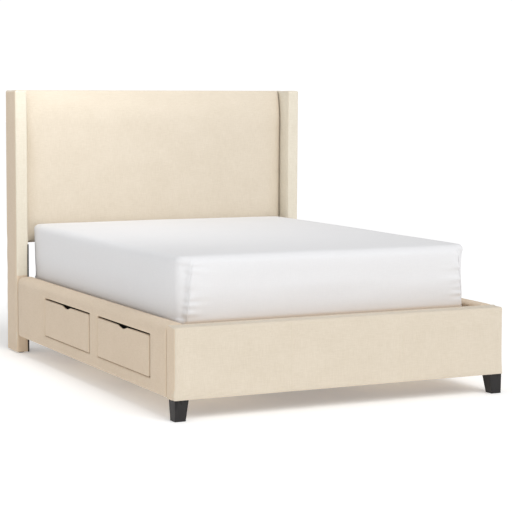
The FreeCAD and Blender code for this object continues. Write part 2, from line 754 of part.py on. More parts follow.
def make_bearers():
    """Timbers from the left rail to the centre beam beside each drawer."""
    members = []
    for end in OPENINGS:
        for y in (("%s_opening_start - bearer_thickness" % end, "%s_opening_start" % end),
                  ("%s_opening_end" % end, "%s_opening_end + bearer_thickness" % end)):
            members.append(block(
                "bearer_%d" % len(members),
                ("-(inner_half)", "-(beam_thickness / 2)"),
                y,
                ("slide_middle_z - bearer_depth / 2", "slide_middle_z + bearer_depth / 2")))
    bearers = publish(group("drawer_bearers_left", members), "drawer_bearers_left")
    mirrored(bearers, "drawer_bearers_right")


# ---------------------------------------------------------------- drawers

def make_drawer_front(end):
    """Upholstered front with a finger notch in its top edge."""
    name = "drawer_left_%s_front" % end
    y = "%s_opening_start + front_side_gap" % end
    width = "opening_width - 2 * front_side_gap"
    height = "opening_height - front_low_gap - front_high_gap"
    body = new_body(name, "-(front_face)", y, "opening_bottom + front_low_gap")
    outline = new_sketch(body, name + "_outline", "YZ_Plane")
    add_rectangle(outline, (AT_ORIGIN, AT_ORIGIN), (width, height))
    pad(body, outline, "front_thickness")
    notch = new_sketch(body, name + "_notch", "YZ_Plane")
    middle = "(%s) / 2" % width
    add_circle(notch, (middle, height + " + notch_radius - notch_depth"), "notch_radius")
    pocket(body, notch, "front_thickness", reverse=True)
    round_edges(body, "front_edge", lambda edge, whole: same(edge.XMax, whole.XMin))
    return publish(body, name)


def make_drawer_walls(end):
    """Four boards of the drawer box."""
    low_y = "%s_opening_start + slide_space" % end
    high_y = "%s_opening_end - slide_space" % end
    z = ("box_bottom", "box_top")
    length = ("-(front_rear)", "-(box_rear)")
    inside = ("%s + drawer_wall" % low_y, "%s - drawer_wall" % high_y)
    name = "drawer_left_%s_walls" % end
    members = [
        block(name + "_foot_side", length, (low_y, inside[0]), z),
        block(name + "_head_side", length, (inside[1], high_y), z),
        block(name + "_front", ("-(front_rear)", "-(front_rear - drawer_wall)"), inside, z),
        block(name + "_back", ("-(box_rear + drawer_wall)", "-(box_rear)"), inside, z),
    ]
    return publish(group(name, members), name)


def make_drawer_bottom(end):
    """Bottom board held between the drawer's walls."""
    name = "drawer_left_%s_bottom" % end
    inset = "slide_space + drawer_wall"
    board = block(
        name,
        ("-(front_rear - drawer_wall)", "-(box_rear + drawer_wall)"),
        ("%s_opening_start + %s" % (end, inset), "%s_opening_end - (%s)" % (end, inset)),
        ("box_bottom + drawer_bottom_rise", "box_bottom + drawer_bottom_rise + drawer_bottom"))
    return publish(board, name)


def slide_block(name, end, side, near, far, half_height):
    """A bar of the slide's length, between two distances from the bearer's face."""
    if side == "foot":
        base = "%s_opening_start" % end
        y = ("%s + %s" % (base, near), "%s + %s" % (base, far))
    else:
        base = "%s_opening_end" % end
        y = ("%s - (%s)" % (base, far), "%s - (%s)" % (base, near))
    z = ("slide_middle_z - (%s)" % half_height, "slide_middle_z + (%s)" % half_height)
    return block(name, ("-(slide_front)", "-(slide_rear)"), y, z)


def slide_channel(name, end, side, near, far, height):
    """A steel channel whose open side faces the drawer."""
    outer = slide_block(name + "_outside", end, side, near, far, "%s / 2" % height)
    inner = slide_block(name + "_inside", end, side, near + " + slide_sheet", far + " + slide_sheet",
                        "%s / 2 - slide_sheet" % height)
    return cut(name, outer, inner)


def make_middle_slides(end):
    """Middle members of the slides, on both sides of one drawer."""
    name = "drawer_left_%s_middle_slides" % end
    members = []
    for side in ("foot", "head"):
        member = slide_channel("%s_%s" % (name, side), end, side, "slide_middle_start", "slide_middle_end",
                               "slide_middle_height")
        members.append(member)
    return publish(group(name, members), name)


def make_inner_slides(end):
    """Members of the slides that are screwed to the drawer's walls."""
    name = "drawer_left_%s_inner_slides" % end
    members = []
    plate_start = "slide_space - slide_inner_plate"
    for side in ("foot", "head"):
        plate = slide_block("%s_%s_plate" % (name, side), end, side, plate_start, "slide_space",
                            "slide_inner_height / 2")
        tongue = slide_block("%s_%s_tongue" % (name, side), end, side, "slide_tongue_start", plate_start,
                             "slide_tongue_height / 2")
        member = doc.addObject("Part::Fuse", "%s_%s" % (name, side))
        member.Base = plate
        member.Tool = tongue
        members.append(member)
    return publish(group(name, members), name)


def make_outer_slides():
    """Members of the slides that are screwed to the bearers and rail uprights."""
    members = []
    for end in OPENINGS:
        for side in ("foot", "head"):
            name = "outer_slide_%s_%s" % (end, side)
            left = slide_channel(name, end, side, "0", "slide_outer_lip", "slide_height")
            right = doc.addObject("Part::Mirroring", name + "_right")
            right.Source = left
            right.Normal = FreeCAD.Vector(1, 0, 0)
            members.extend((left, right))
    publish(group("outer_slide_members", members), "outer_slide_members")


def make_drawers():
    """Two drawers in each side rail."""
    makers = (make_drawer_front, make_drawer_walls, make_drawer_bottom, make_middle_slides, make_inner_slides)
    for end in OPENINGS:
        for maker in makers:
            item = maker(end)
            mirrored(item, item.Label.replace("left", "right"))
    make_outer_slides()


# ---------------------------------------------------------------- bedding

def soft_block(name, grow):
    """A mattress shaped block, grown on every face by an amount."""
    body = new_body(name, "-(mattress_width / 2 + %s)" % grow, "mattress_foot - (%s)" % grow,
                    "mattress_bottom - (%s)" % grow)
    outline = new_sketch(body, name + "_outline", "XY_Plane")
    size = ("mattress_width + 2 * (%s)" % grow, "mattress_length + 2 * (%s)" % grow)
    add_rectangle(outline, (AT_ORIGIN, AT_ORIGIN), size)
    pad(body, outline, "mattress_thickness + 2 * (%s)" % grow)
    round_edges(body, "mattress_corner + " + grow, lambda edge, whole: is_upright(edge))
    round_edges(body, "mattress_edge + " + grow, lambda edge, whole: edge.ZLength < NEAR)
    return body


def make_bedding():
    """Mattress, and a fitted sheet pulled over its top and sides and turned under."""
    publish(soft_block("mattress", "0"), "mattress")
    void = soft_block("sheet_void", "soft_gap")
    outer = soft_block("sheet_outer", "(soft_gap + sheet_thickness)")
    shell = cut("sheet_shell", outer, void)
    half = "mattress_width / 2 - sheet_return"
    under = block(
        "sheet_underside",
        ("-(%s)" % half, half),
        ("mattress_foot + sheet_return", "mattress_head - sheet_return"),
        ("sheet_bottom - sheet_thickness", "mattress_bottom + mattress_thickness / 2"))
    publish(cut("fitted_sheet", shell, under), "fitted_sheet")


# ---------------------------------------------------------------- checks and files

def check_document():
    """Stop if any object failed or any sub-part's shape is empty or bad."""
    doc.recompute()
    for item in doc.Objects:
        if "Invalid" in item.State or "Error" in item.State:
            raise ValueError("%s failed: %s" % (item.Name, item.State))
    for item in SUBPARTS:
        if item.Shape.isNull() or not item.Shape.isValid() or not item.Shape.Solids:
            raise ValueError(item.Label + " has no valid shape")


def write_parts():
    """Write each sub-part to its own file."""
    os.makedirs("parts", exist_ok=True)
    for item in SUBPARTS:
        item.Shape.exportStep("parts/%s.step" % item.Label)
    print(len(SUBPARTS), "sub-parts")


make_sheet()
make_wing()
make_glides()
make_headboard_pad()
make_headboard()
make_side_rails()
make_footboard()
make_front_leg()
make_platform()
make_bearers()
make_drawers()
make_bedding()
check_document()
write_parts()
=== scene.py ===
import bpy
import bmesh
import math
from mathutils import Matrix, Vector
from mathutils import noise


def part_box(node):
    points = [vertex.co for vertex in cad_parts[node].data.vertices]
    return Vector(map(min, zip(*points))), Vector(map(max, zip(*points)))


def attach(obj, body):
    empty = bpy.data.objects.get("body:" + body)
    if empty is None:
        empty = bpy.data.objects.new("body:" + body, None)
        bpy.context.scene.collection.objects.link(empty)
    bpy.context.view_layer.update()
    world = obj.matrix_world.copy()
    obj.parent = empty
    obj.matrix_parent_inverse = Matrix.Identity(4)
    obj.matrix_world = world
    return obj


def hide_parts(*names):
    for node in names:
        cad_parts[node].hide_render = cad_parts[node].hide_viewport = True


# Upholstered wing bed: linen covers, drawer fronts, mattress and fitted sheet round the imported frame.
# Metres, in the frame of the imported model: +X right, +Y to the headboard, +Z up.

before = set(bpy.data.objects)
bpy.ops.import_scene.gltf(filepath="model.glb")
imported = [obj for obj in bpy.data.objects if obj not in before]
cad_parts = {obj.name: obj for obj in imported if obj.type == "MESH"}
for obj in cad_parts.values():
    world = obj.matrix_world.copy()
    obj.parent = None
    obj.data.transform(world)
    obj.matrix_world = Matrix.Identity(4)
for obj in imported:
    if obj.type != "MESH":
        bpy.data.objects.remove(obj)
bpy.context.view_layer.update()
scene = bpy.context.scene

MM = 0.001
AXES = (Vector((1, 0, 0)), Vector((0, 1, 0)), Vector((0, 0, 1)))
SIDES = ("left", "right")
ENDS = ("foot", "head")
WELD = 0.01 * MM
PINNED = 2 * MM
SIDE_FACING = 0.85
FRONT_FACING = 0.7

# Covers. A swell is the room left for the cloth to push out inside the CAD outline.
SWELL = 3 * MM
WING_SWELL = 1.5 * MM
FRONT_SWELL = 1.2 * MM
PADDING = 14 * MM
FABRIC = 2 * MM
FLAP = 1.2 * MM
FLAP_DEPTH = 38 * MM
RAIL_CROWN = 30 * MM
INNER_CROWN = 12 * MM
FOOTBOARD_CORNER = 14 * MM
FOOTBOARD_CROWN = 16 * MM
BACKING_SLACK = 0.5 * MM
BACKING_EDGE = 1.5 * MM

# Headboard pad
ROLL_HEIGHT = 190 * MM
ROLL_DEPTH = 34 * MM
PAD_TOP_EDGE = 7 * MM
PAD_BASE_EDGE = 10 * MM
PAD_WRAP = 12 * MM
PAD_REAR = 14 * MM
PAD_REAR_TURN = 6 * MM
PAD_SIDE_WIDTH = 26 * MM
PAD_SIDE_DEPTH = 36 * MM
PAD_SIDE_CUTS = (0.02, 0.08, 0.2, 0.4, 0.65, 1)

# Wings. The shares tell where a seam or a ridge lies across the front strip.
WING_EDGE = 9 * MM
WING_PINNED = 100 * MM
STRIP_SEAMS = (0.07, 0.93)
STRIP_DEPTH = 0.8 * MM
STRIP_SPREAD = 2.5 * MM
STRIP_FACE = 6 * MM
STRIP_RIDGES = (0.19, 0.76)
RIDGE_HEIGHT = 0.5 * MM
RIDGE_SPREAD = 4 * MM
RIDGE_FACE = 4 * MM

# Seams. The cuts are shares of a seam's spread, on each side of it.
SEAM_SPREAD = 3 * MM
SEAM_DEPTH = 1.6 * MM
SEAM_REACH = 4
SEAM_CUTS = (0.9, 1.8, 3.2)
SEAM_UNEVEN = 0.35
SEAM_GRAIN = 38
DIVIDER_DEPTH = 1.1 * MM
RAIL_SEAM_BASE = 4 * MM
RAIL_SEAM_TOP = 6 * MM
PANEL_SEAM_TOP = 8 * MM
CORNER_SEAM_TOP = 9 * MM
CORNER_DEPTH = 7 * MM
CORNER_SPREAD = 4 * MM
CORNER_CUT = 2.5 * MM

# Drawer openings, the black felt that paints shade in them, and the drawer fronts
OPENING_SIDE_GAP = 3.5 * MM
OPENING_LOW_GAP = 3 * MM
OPENING_TOP_GAP = 5 * MM
FELT = 2 * MM
FELT_GAP = 1.5 * MM
FELT_EDGE = 0.8 * MM
FRONT_EDGE = 5 * MM
FRONT_INSET = 1 * MM
FOOT_GAP = 6 * MM
TOP_GAP = 2 * MM
LOW_GAP = 1.2 * MM
HEAD_GAP = 1.2 * MM
NOTCH_RADIUS = 115 * MM
NOTCH_DEPTH = 11 * MM
NOTCH_FLARE = 55 * MM
NOTCH_REAR = 26 * MM
NOTCH_END = 0.1 * MM

# Mattress and sheet
MATTRESS_CORNER = 65 * MM
MATTRESS_EDGE = 36 * MM
MATTRESS_INSET = 7 * MM
MATTRESS_MARGIN = 100 * MM
QUILT_DEPTH = 2 * MM
QUILT_PACE = 26
SHEET_RETURN = 120 * MM
SHEET_THICKNESS = 0.8 * MM
SHEET_SWELL = 2 * MM
SHEET_GROWTH = 4 * MM
SHEET_BASE_EDGE = 20 * MM
SHEET_BUSY = 130 * MM
SHEET_GATHER = 0.12
GATHER_REACH = 90 * MM
GATHER_TOP = 6 * MM
HEAD_CLEARANCE = 3.5 * MM

# Sewn darts at the sheet's corners, and the creases, puckers, pulls and waves in its cloth
DART_TOP = 60 * MM
DART_LEAN = 30 * MM
DART_WIDTH = 2.4 * MM
DART_STEPS = 7
DART_TOP_GAP = 12 * MM
DART_LOW_GAP = 8 * MM
DART_LIFT = 0.8 * MM
CREASE = 26 * MM
CREASE_STEP = 16 * MM
CREASE_REACH = 110 * MM
PUCKER = 9 * MM
PUCKER_LONG = 60 * MM
PUCKER_SHORT = 40 * MM
PUCKER_ALONG = 6
PUCKER_DOWN = 48
PULL = 3 * MM
PULL_ALONG = 2.2
PULL_DOWN = 13
PULL_LAYER = 4
WAVE = 3 * MM
WAVE_ACROSS = 2.4
WAVE_ALONG = 1.7
WAVE_LAYER = 9
RIM_FADE = 20 * MM

# Mesh cells
ROLL_CELL = 14 * MM
PAD_CELL = 18 * MM
WING_ROW = 14 * MM
WING_CELL = 13 * MM
COVER_CELL = 16 * MM
COVER_ROW = 15 * MM
COVER_DEPTH = 14 * MM
BACKING_CELL = 26 * MM
FELT_CELL = 40 * MM
NOTCH_CELL = 8 * MM
FRONT_CELL = 12 * MM
MATTRESS_CELL = 60 * MM
SHEET_FINE = 9 * MM
SHEET_COARSE = 30 * MM
SHEET_ROW = 8 * MM

# Simulation
SIM_FRAMES = 20

# Studio
ROOM_LIGHT = 0.5
SEEN_BACKDROP = 1.05
FLOOR_GLOW = 0.25
KEY_POWER = 1.52
KEY_SPREAD = 40
KEY_FROM = (0.12, -0.68, 0.72)
KEY_AIM = (0, 0, 0)
OVERHEAD_FROM = (-0.8, 0.2, 2.1)
OVERHEAD_AIM = (0.8, 1.0, 1.1)
OVERHEAD_POWER = 8.5
FILL_FROM = (-2.4, -1.8, 0.8)
FILL_AIM = (-0.85, -0.6, 0.3)
FILL_POWER = 3
PANEL_SIZE = 1.1
FLOOR_SIZE = 60

# Camera
CAMERA_PLACE = (-3.7164, -7.7736, 1.4363)
CAMERA_YAW = 0.4565
CAMERA_PITCH = 0.0751
CAMERA_ROLL = 0.0034
CAMERA_LENS = 119.37
CAMERA_SHIFT = -0.0781
CAMERA_REACH = 200


# ---- mesh helpers

def near(a, b, reach=0.2 * MM):
    """Two lengths that agree."""
    return abs(a - b) < reach


def steps(low, high, cell):
    """Evenly spaced places strictly between two ends, at most a cell apart."""
    count = max(1, math.ceil((high - low) / cell))
    return [low + (high - low) * index / count for index in range(1, count)]


def block_mesh(low, high):
    """A box between two corners."""
    bm = bmesh.new()
    bmesh.ops.create_cube(bm, size=1.0)
    bmesh.ops.scale(bm, vec=high - low, verts=bm.verts)
    bmesh.ops.translate(bm, vec=(low + high) / 2, verts=bm.verts)
    return bm


def slice_mesh(bm, axis, places):
    """Cut the whole mesh by planes square to an axis."""
    for place in places:
        parts = bm.verts[:] + bm.edges[:] + bm.faces[:]
        bmesh.ops.bisect_plane(bm, geom=parts, plane_co=AXES[axis] * place, plane_no=AXES[axis], dist=WELD)


def round_edges(bm, radius, segments, chosen):
    """Round the edges whose two ends pass a test."""
    edges = [edge for edge in bm.edges if chosen(edge.verts[0].co, edge.verts[1].co)]
    bmesh.ops.bevel(bm, geom=edges, offset=radius, offset_type="OFFSET", affect="EDGES",
                    segments=segments, profile=0.5, material=-1, clamp_overlap=True)


def faces_at(bm, axis, place, within):
    """Faces in one plane square to an axis whose middles pass a test."""
    level = [face for face in bm.faces if all(near(vertex.co[axis], place) for vertex in face.verts)]
    return [face for face in level if within(face.calc_center_median())]


def upright(a, b):
    """An edge that stands upright, given its two ends."""
    return near(a.x, b.x) and near(a.y, b.y)


def level_at(place):
    """A test for level edges at a height."""
    return lambda a, b: near(a.z, place) and near(b.z, place)


def finish_piece(name, bm, material, body, nodes):
    """Turn a bmesh into a piece that rides on a body, and stands for its CAD nodes if it has any."""
    mesh = bpy.data.meshes.new(name)
    bm.normal_update()
    bm.to_mesh(mesh)
    bm.free()
    mesh.shade_smooth()
    piece = bpy.data.objects.new(name, mesh)
    scene.collection.objects.link(piece)
    mesh.materials.append(material)
    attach(piece, body)
    if nodes:
        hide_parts(*nodes)
    return piece


def copied_piece(piece, name, body, nodes, offset=(0, 0, 0), mirror=False):
    """The same piece at another place, or on the other side of the bed."""
    bm = bmesh.new()
    bm.from_mesh(piece.data)
    if mirror:
        bmesh.ops.scale(bm, vec=(-1, 1, 1), verts=bm.verts)
        bmesh.ops.reverse_faces(bm, faces=bm.faces)
    bmesh.ops.translate(bm, vec=offset, verts=bm.verts)
    return finish_piece(name, bm, piece.data.materials[0], body, nodes)


def face_sides(piece):
    """Outward side panels take the darker, warmer linen copy: painted shade on the bed's outward side faces.
    """
    piece.data.materials.append(SHADED_LINEN)
    for panel in piece.data.polygons:
        if panel.normal.x * math.copysign(1, panel.center.x) > SIDE_FACING:
            panel.material_index = 1


def face_wing(piece):
    """A wing's front strip and inner face take painted light above the rail, in the paler linen copy, and
    painted shade below it, in the darker copy.
    """
    piece.data.materials.append(LIT_LINEN)
    rail_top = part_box("side_rail_cover_left")[1].z
    for panel in piece.data.polygons:
        inward = panel.normal.x * math.copysign(1, panel.center.x) < -SIDE_FACING
        if inward or panel.normal.y < -FRONT_FACING:
            panel.material_index = 2 if panel.center.z > rail_top else 1


def pad_out(piece):
    """Finish a padded piece with a subdivision surface."""
    modifier = piece.modifiers.new("soft surface", "SUBSURF")
    modifier.levels = 1
    modifier.render_levels = 1


# ---- cloth

def inflate(piece, held, cap, gathered=None):
    """Push a cover out from its board by cloth simulation, no point further than the cap."""
    mesh = piece.data
    rest = [vertex.co.copy() for vertex in mesh.vertices]
    pinned = piece.vertex_groups.new(name="board")
    pinned.add([index for index, co in enumerate(rest) if held(co)], 1.0, "REPLACE")
    cloth = piece.modifiers.new("cover", "CLOTH")
    cloth.collision_settings.use_collision = False
    cloth.point_cache.frame_start = 1
    cloth.point_cache.frame_end = SIM_FRAMES
    settings = cloth.settings
    settings.quality = 3
    settings.mass = 0.3
    settings.tension_stiffness = 15
    settings.compression_stiffness = 15
    settings.shear_stiffness = 5
    settings.bending_stiffness = 0.5
    settings.use_pressure = True
    settings.uniform_pressure_force = 4.0
    settings.effector_weights.gravity = 0
    settings.vertex_group_mass = "board"
    if gathered is not None:
        group = piece.vertex_groups.new(name="gathers")
        for index, co in enumerate(rest):
            weight = gathered(co)
            if weight > 0:
                group.add([index], weight, "REPLACE")
        settings.vertex_group_shrink = "gathers"
        settings.shrink_min = 0.0
        settings.shrink_max = SHEET_GATHER
    for number in range(1, SIM_FRAMES + 1):
        scene.frame_set(number)
    graph = bpy.context.evaluated_depsgraph_get()
    settled = piece.evaluated_get(graph).to_mesh()
    moved = [vertex.co.copy() for vertex in settled.vertices]
    piece.modifiers.remove(cloth)
    scene.frame_set(1)
    for vertex, start, end in zip(mesh.vertices, rest, moved):
        shift = end - start
        length = shift.length
        if length > 0:
            vertex.co = start + shift * (cap * math.tanh(length / cap) / length)
    piece.vertex_groups.clear()
    mesh.update()


def press_seam(piece, axis, place, depth, spread, where):
    """Sink a sewn seam into a cover, with a little unevenness along it."""
    mesh = piece.data
    normals = [vertex.normal.copy() for vertex in mesh.vertices]
    for vertex, normal in zip(mesh.vertices, normals):
        if not where(vertex.co):
            continue
        away = (vertex.co[axis] - place) / spread
        if abs(away) < SEAM_REACH:
            pull = depth * math.exp(-away * away)
            pull *= 1 + SEAM_UNEVEN * noise.noise(vertex.co * SEAM_GRAIN)
            vertex.co -= normal * pull
    mesh.update()


def seam_places(place):
    """Where a mesh is cut so that a seam at a place can sink into it."""
    shares = [-share for share in reversed(SEAM_CUTS)] + [0] + list(SEAM_CUTS)
    return [place + SEAM_SPREAD * share for share in shares]


# ---- shader node helpers

class Nodes:
    """A small hand for building a node tree."""

    def __init__(self, tree):
        self.tree = tree

    def add(self, kind, **values):
        node = self.tree.nodes.new(kind)
        for name, value in values.items():
            setattr(node, name, value)
        return node

    def put(self, node, **values):
        for name, value in values.items():
            node.inputs[name.replace("_", " ")].default_value = value
        return node

    def link(self, source, target):
        self.tree.links.new(source, target)

    def math(self, operation, a, b=None, clamp=False):
        """One math step. Each operand is a socket or a number."""
        node = self.add("ShaderNodeMath", operation=operation, use_clamp=clamp)
        for index, value in enumerate((a, b)):
            if value is None:
                continue
            if isinstance(value, (int, float)):
                node.inputs[index].default_value = value
            else:
                self.link(value, node.inputs[index])
        return node.outputs[0]

    def times(self, a, b):
        """One value times another."""
        return self.math("MULTIPLY", a, b)

    def plus(self, a, b, clamp=False):
        """One value and another."""
        return self.math("ADD", a, b, clamp)

    def noise(self, vector, scale, detail=3.0, roughness=0.5):
        """Noise from 0 to 1 over a vector."""
        node = self.add("ShaderNodeTexNoise")
        node.inputs["Scale"].default_value = scale
        node.inputs["Detail"].default_value = detail
        node.inputs["Roughness"].default_value = roughness
        self.link(vector, node.inputs["Vector"])
        return node.outputs["Fac"]

    def stretch(self, vector, scale):
        """A vector scaled along each axis."""
        node = self.add("ShaderNodeMapping")
        node.inputs["Scale"].default_value = scale
        self.link(vector, node.inputs["Vector"])
        return node.outputs["Vector"]

    def blend(self, factor, a, b):
        """A colour between two colours. Each is a socket or a colour."""
        node = self.add("ShaderNodeMix", data_type="RGBA")
        for index, value in ((0, factor), (6, a), (7, b)):
            if hasattr(value, "links") or hasattr(value, "is_linked"):
                self.link(value, node.inputs[index])
            else:
                node.inputs[index].default_value = value
        return node.outputs[2]

    def span(self, value, low, high, to_low=0.0, to_high=1.0):
        """A value's range spread over another range."""
        node = self.add("ShaderNodeMapRange")
        node.inputs["From Min"].default_value = low
        node.inputs["From Max"].default_value = high
        node.inputs["To Min"].default_value = to_low
        node.inputs["To Max"].default_value = to_high
        self.link(value, node.inputs["Value"])
        return node.outputs[0]


def new_group(name, inputs, outputs):
    """An empty node group with named sockets. Each input is a name, a kind and a value."""
    group = bpy.data.node_groups.new(name, "ShaderNodeTree")
    for label, kind, value in inputs:
        socket = group.interface.new_socket(label, in_out="INPUT", socket_type=kind)
        if value is not None:
            socket.default_value = value
    for label, kind in outputs:
        group.interface.new_socket(label, in_out="OUTPUT", socket_type=kind)
    nodes = Nodes(group)
    return group, nodes, nodes.add("NodeGroupInput"), nodes.add("NodeGroupOutput")


def make_weave_group():
    """Plain weave on whichever faces the surface turns to, with uneven slub threads."""
    group, n, given, result = new_group(
        "plain weave",
        [("Position", "NodeSocketVector", None), ("Facing", "NodeSocketVector", None),
         ("Thread", "NodeSocketFloat", 0.0012), ("Slub", "NodeSocketFloat", 0.5)],
        [("Height", "NodeSocketFloat"), ("Slubs", "NodeSocketFloat")])
    place = n.add("ShaderNodeSeparateXYZ")
    n.link(given.outputs["Position"], place.inputs[0])
    facing = n.add("ShaderNodeSeparateXYZ")
    n.link(given.outputs["Facing"], facing.inputs[0])
    pace = n.math("DIVIDE", math.pi, given.outputs["Thread"])
    waves = [n.math("SINE", n.times(place.outputs[axis], pace)) for axis in range(3)]
    streaks = [n.noise(n.stretch(given.outputs["Position"], scale), 1.0, detail=2.0)
               for scale in ((30, 420, 420), (420, 30, 420), (420, 420, 30))]
    heights = []
    slubs = []
    for axis in range(3):
        first, second = [other for other in range(3) if other != axis]
        share = n.math("POWER", n.math("ABSOLUTE", facing.outputs[axis]), 2.0)
        heights.append(n.times(n.times(waves[first], waves[second]), share))
        crossing = n.plus(streaks[first], streaks[second])
        slubs.append(n.times(crossing, share))
    height = n.plus(n.plus(heights[0], heights[1]), heights[2])
    slub = n.times(n.plus(n.plus(slubs[0], slubs[1]), slubs[2]), 0.5)
    raised = n.times(n.math("SUBTRACT", slub, 0.5), given.outputs["Slub"])
    relief = n.plus(n.times(height, 0.5), n.times(raised, 4.0))
    n.link(relief, result.inputs["Height"])
    n.link(slub, result.inputs["Slubs"])
    return group


def make_grain_group():
    """Long wood grain: growth bands, pores and a slow drift in tone."""
    group, n, given, result = new_group(
        "wood grain",
        [("Position", "NodeSocketVector", None), ("Bands", "NodeSocketFloat", 30.0)],
        [("Bands", "NodeSocketFloat"), ("Pores", "NodeSocketFloat"), ("Drift", "NodeSocketFloat")])
    wander = n.noise(given.outputs["Position"], 2.0, detail=2.0)
    bands = n.add("ShaderNodeTexWave", wave_type="RINGS", rings_direction="X", wave_profile="SAW")
    n.put(bands, Distortion=3.0, Detail=2.0, Detail_Scale=1.5)
    n.link(given.outputs["Position"], bands.inputs["Vector"])
    n.link(given.outputs["Bands"], bands.inputs["Scale"])
    pores = n.noise(n.stretch(given.outputs["Position"], (6, 260, 260)), 1.0, detail=2.0)
    n.link(bands.outputs["Fac"], result.inputs["Bands"])
    n.link(n.span(pores, 0.52, 0.7), result.inputs["Pores"])
    n.link(wander, result.inputs["Drift"])
    return group


def make_dust_group():
    """Soft uneven patches, as handling and dust leave on any surface."""
    group, n, given, result = new_group(
        "uneven patches",
        [("Position", "NodeSocketVector", None), ("Size", "NodeSocketFloat", 6.0)],
        [("Patches", "NodeSocketFloat"), ("Specks", "NodeSocketFloat")])
    coarse = n.add("ShaderNodeTexNoise")
    n.put(coarse, Detail=4.0, Roughness=0.6)
    n.link(given.outputs["Position"], coarse.inputs["Vector"])
    n.link(given.outputs["Size"], coarse.inputs["Scale"])
    specks = n.noise(given.outputs["Position"], 900.0, detail=1.0)
    n.link(n.span(coarse.outputs["Fac"], 0.3, 0.7), result.inputs["Patches"])
    n.link(n.span(specks, 0.6, 0.75), result.inputs["Specks"])
    return group


WEAVE = make_weave_group()
GRAIN = make_grain_group()
PATCHES = make_dust_group()


def new_material(name):
    """A material with its Principled shader, and its place in object coordinates."""
    material = bpy.data.materials.new(name)
    material.use_nodes = True
    n = Nodes(material.node_tree)
    shader = material.node_tree.nodes["Principled BSDF"]
    place = n.add("ShaderNodeTexCoord").outputs["Object"]
    return material, n, shader, place


def use_group(n, group, position, **values):
    """One copy of a shared effect, placed in a material."""
    node = n.add("ShaderNodeGroup", node_tree=group)
    n.link(position, node.inputs["Position"])
    for name, value in values.items():
        node.inputs[name].default_value = value
    return node


def add_bump(n, shader, height, depth, strength=1.0):
    """Relief from a height map, with its depth in metres."""
    bump = n.add("ShaderNodeBump")
    bump.inputs["Strength"].default_value = strength
    bump.inputs["Distance"].default_value = depth
    n.link(height, bump.inputs["Height"])
    n.link(bump.outputs["Normal"], shader.inputs["Normal"])
    return bump


def make_cloth(name, light, dark, thread, slub, depth, roughness, sheen):
    """Woven cloth in two close tones."""
    material, n, shader, place = new_material(name)
    weave = use_group(n, WEAVE, place, Thread=thread, Slub=slub)
    n.link(place.node.outputs["Normal"], weave.inputs["Facing"])
    patches = use_group(n, PATCHES, place, Size=7.0)
    slubs = weave.outputs["Slubs"]
    threads = n.times(n.span(slubs, 0.36, 0.64), 0.7)
    tone = n.plus(threads, n.times(patches.outputs["Patches"], 0.3))
    n.link(n.blend(tone, dark, light), shader.inputs["Base Color"])
    n.link(n.span(slubs, 0.3, 0.7, roughness + 0.05, roughness - 0.05), shader.inputs["Roughness"])
    shader.inputs["Sheen Weight"].default_value = sheen
    shader.inputs["Sheen Roughness"].default_value = 0.5
    shader.inputs["Specular IOR Level"].default_value = 0.25
    add_bump(n, shader, weave.outputs["Height"], depth)
    return material


def make_linen(name, light, dark):
    """The upholstery's linen in two close tones, also used for its copies with painted light and painted
    shade.
    """
    return make_cloth(name, light, dark, 1.3 * MM, 0.6, 0.35 * MM, 0.92, 0.2)


def make_wood(name, light, dark, along, roughness=0.55, bands=22.0):
    """Planed solid wood with its grain along one axis."""
    material, n, shader, place = new_material(name)
    turn = n.add("ShaderNodeMapping")
    turns = ((0, 0, 0), (0, 0, -math.pi / 2), (0, math.pi / 2, 0))
    turn.inputs["Rotation"].default_value = turns[along]
    n.link(place, turn.inputs["Vector"])
    squeezed = n.stretch(turn.outputs["Vector"], (0.16, 1.0, 1.0))
    grain = use_group(n, GRAIN, squeezed, Bands=bands)
    patches = use_group(n, PATCHES, place, Size=4.0)
    tone = n.times(grain.outputs["Bands"], 0.6)
    tone = n.plus(tone, n.times(grain.outputs["Drift"], 0.3))
    tone = n.plus(tone, n.times(grain.outputs["Pores"], 0.25), clamp=True)
    n.link(n.blend(tone, light, dark), shader.inputs["Base Color"])
    shine = n.span(patches.outputs["Patches"], 0, 1, roughness - 0.08, roughness + 0.08)
    n.link(shine, shader.inputs["Roughness"])
    relief = n.plus(grain.outputs["Pores"], n.times(grain.outputs["Bands"], 0.4))
    add_bump(n, shader, relief, 0.15 * MM)
    return material


def make_board(name, light, dark, glue, ply, roughness):
    """Plywood: veneer grain on its faces and thin plies on every cut edge."""
    material, n, shader, place = new_material(name)
    squeezed = n.stretch(place, (1.0, 0.2, 1.0))
    grain = use_group(n, GRAIN, squeezed, Bands=14.0)
    layers = n.add("ShaderNodeTexWave", wave_type="BANDS", bands_direction="DIAGONAL")
    n.put(layers, Scale=1.0 / ply, Distortion=0.4)
    n.link(place, layers.inputs["Vector"])
    tone = n.plus(n.times(grain.outputs["Bands"], 0.45),
                  n.times(grain.outputs["Drift"], 0.4))
    veneer = n.blend(tone, light, dark)
    lines = n.times(n.span(layers.outputs["Fac"], 0.8, 1.0), 0.25)
    n.link(n.blend(lines, veneer, glue), shader.inputs["Base Color"])
    shine = n.span(grain.outputs["Pores"], 0, 1, roughness, roughness + 0.15)
    n.link(shine, shader.inputs["Roughness"])
    add_bump(n, shader, grain.outputs["Pores"], 0.1 * MM)
    return material


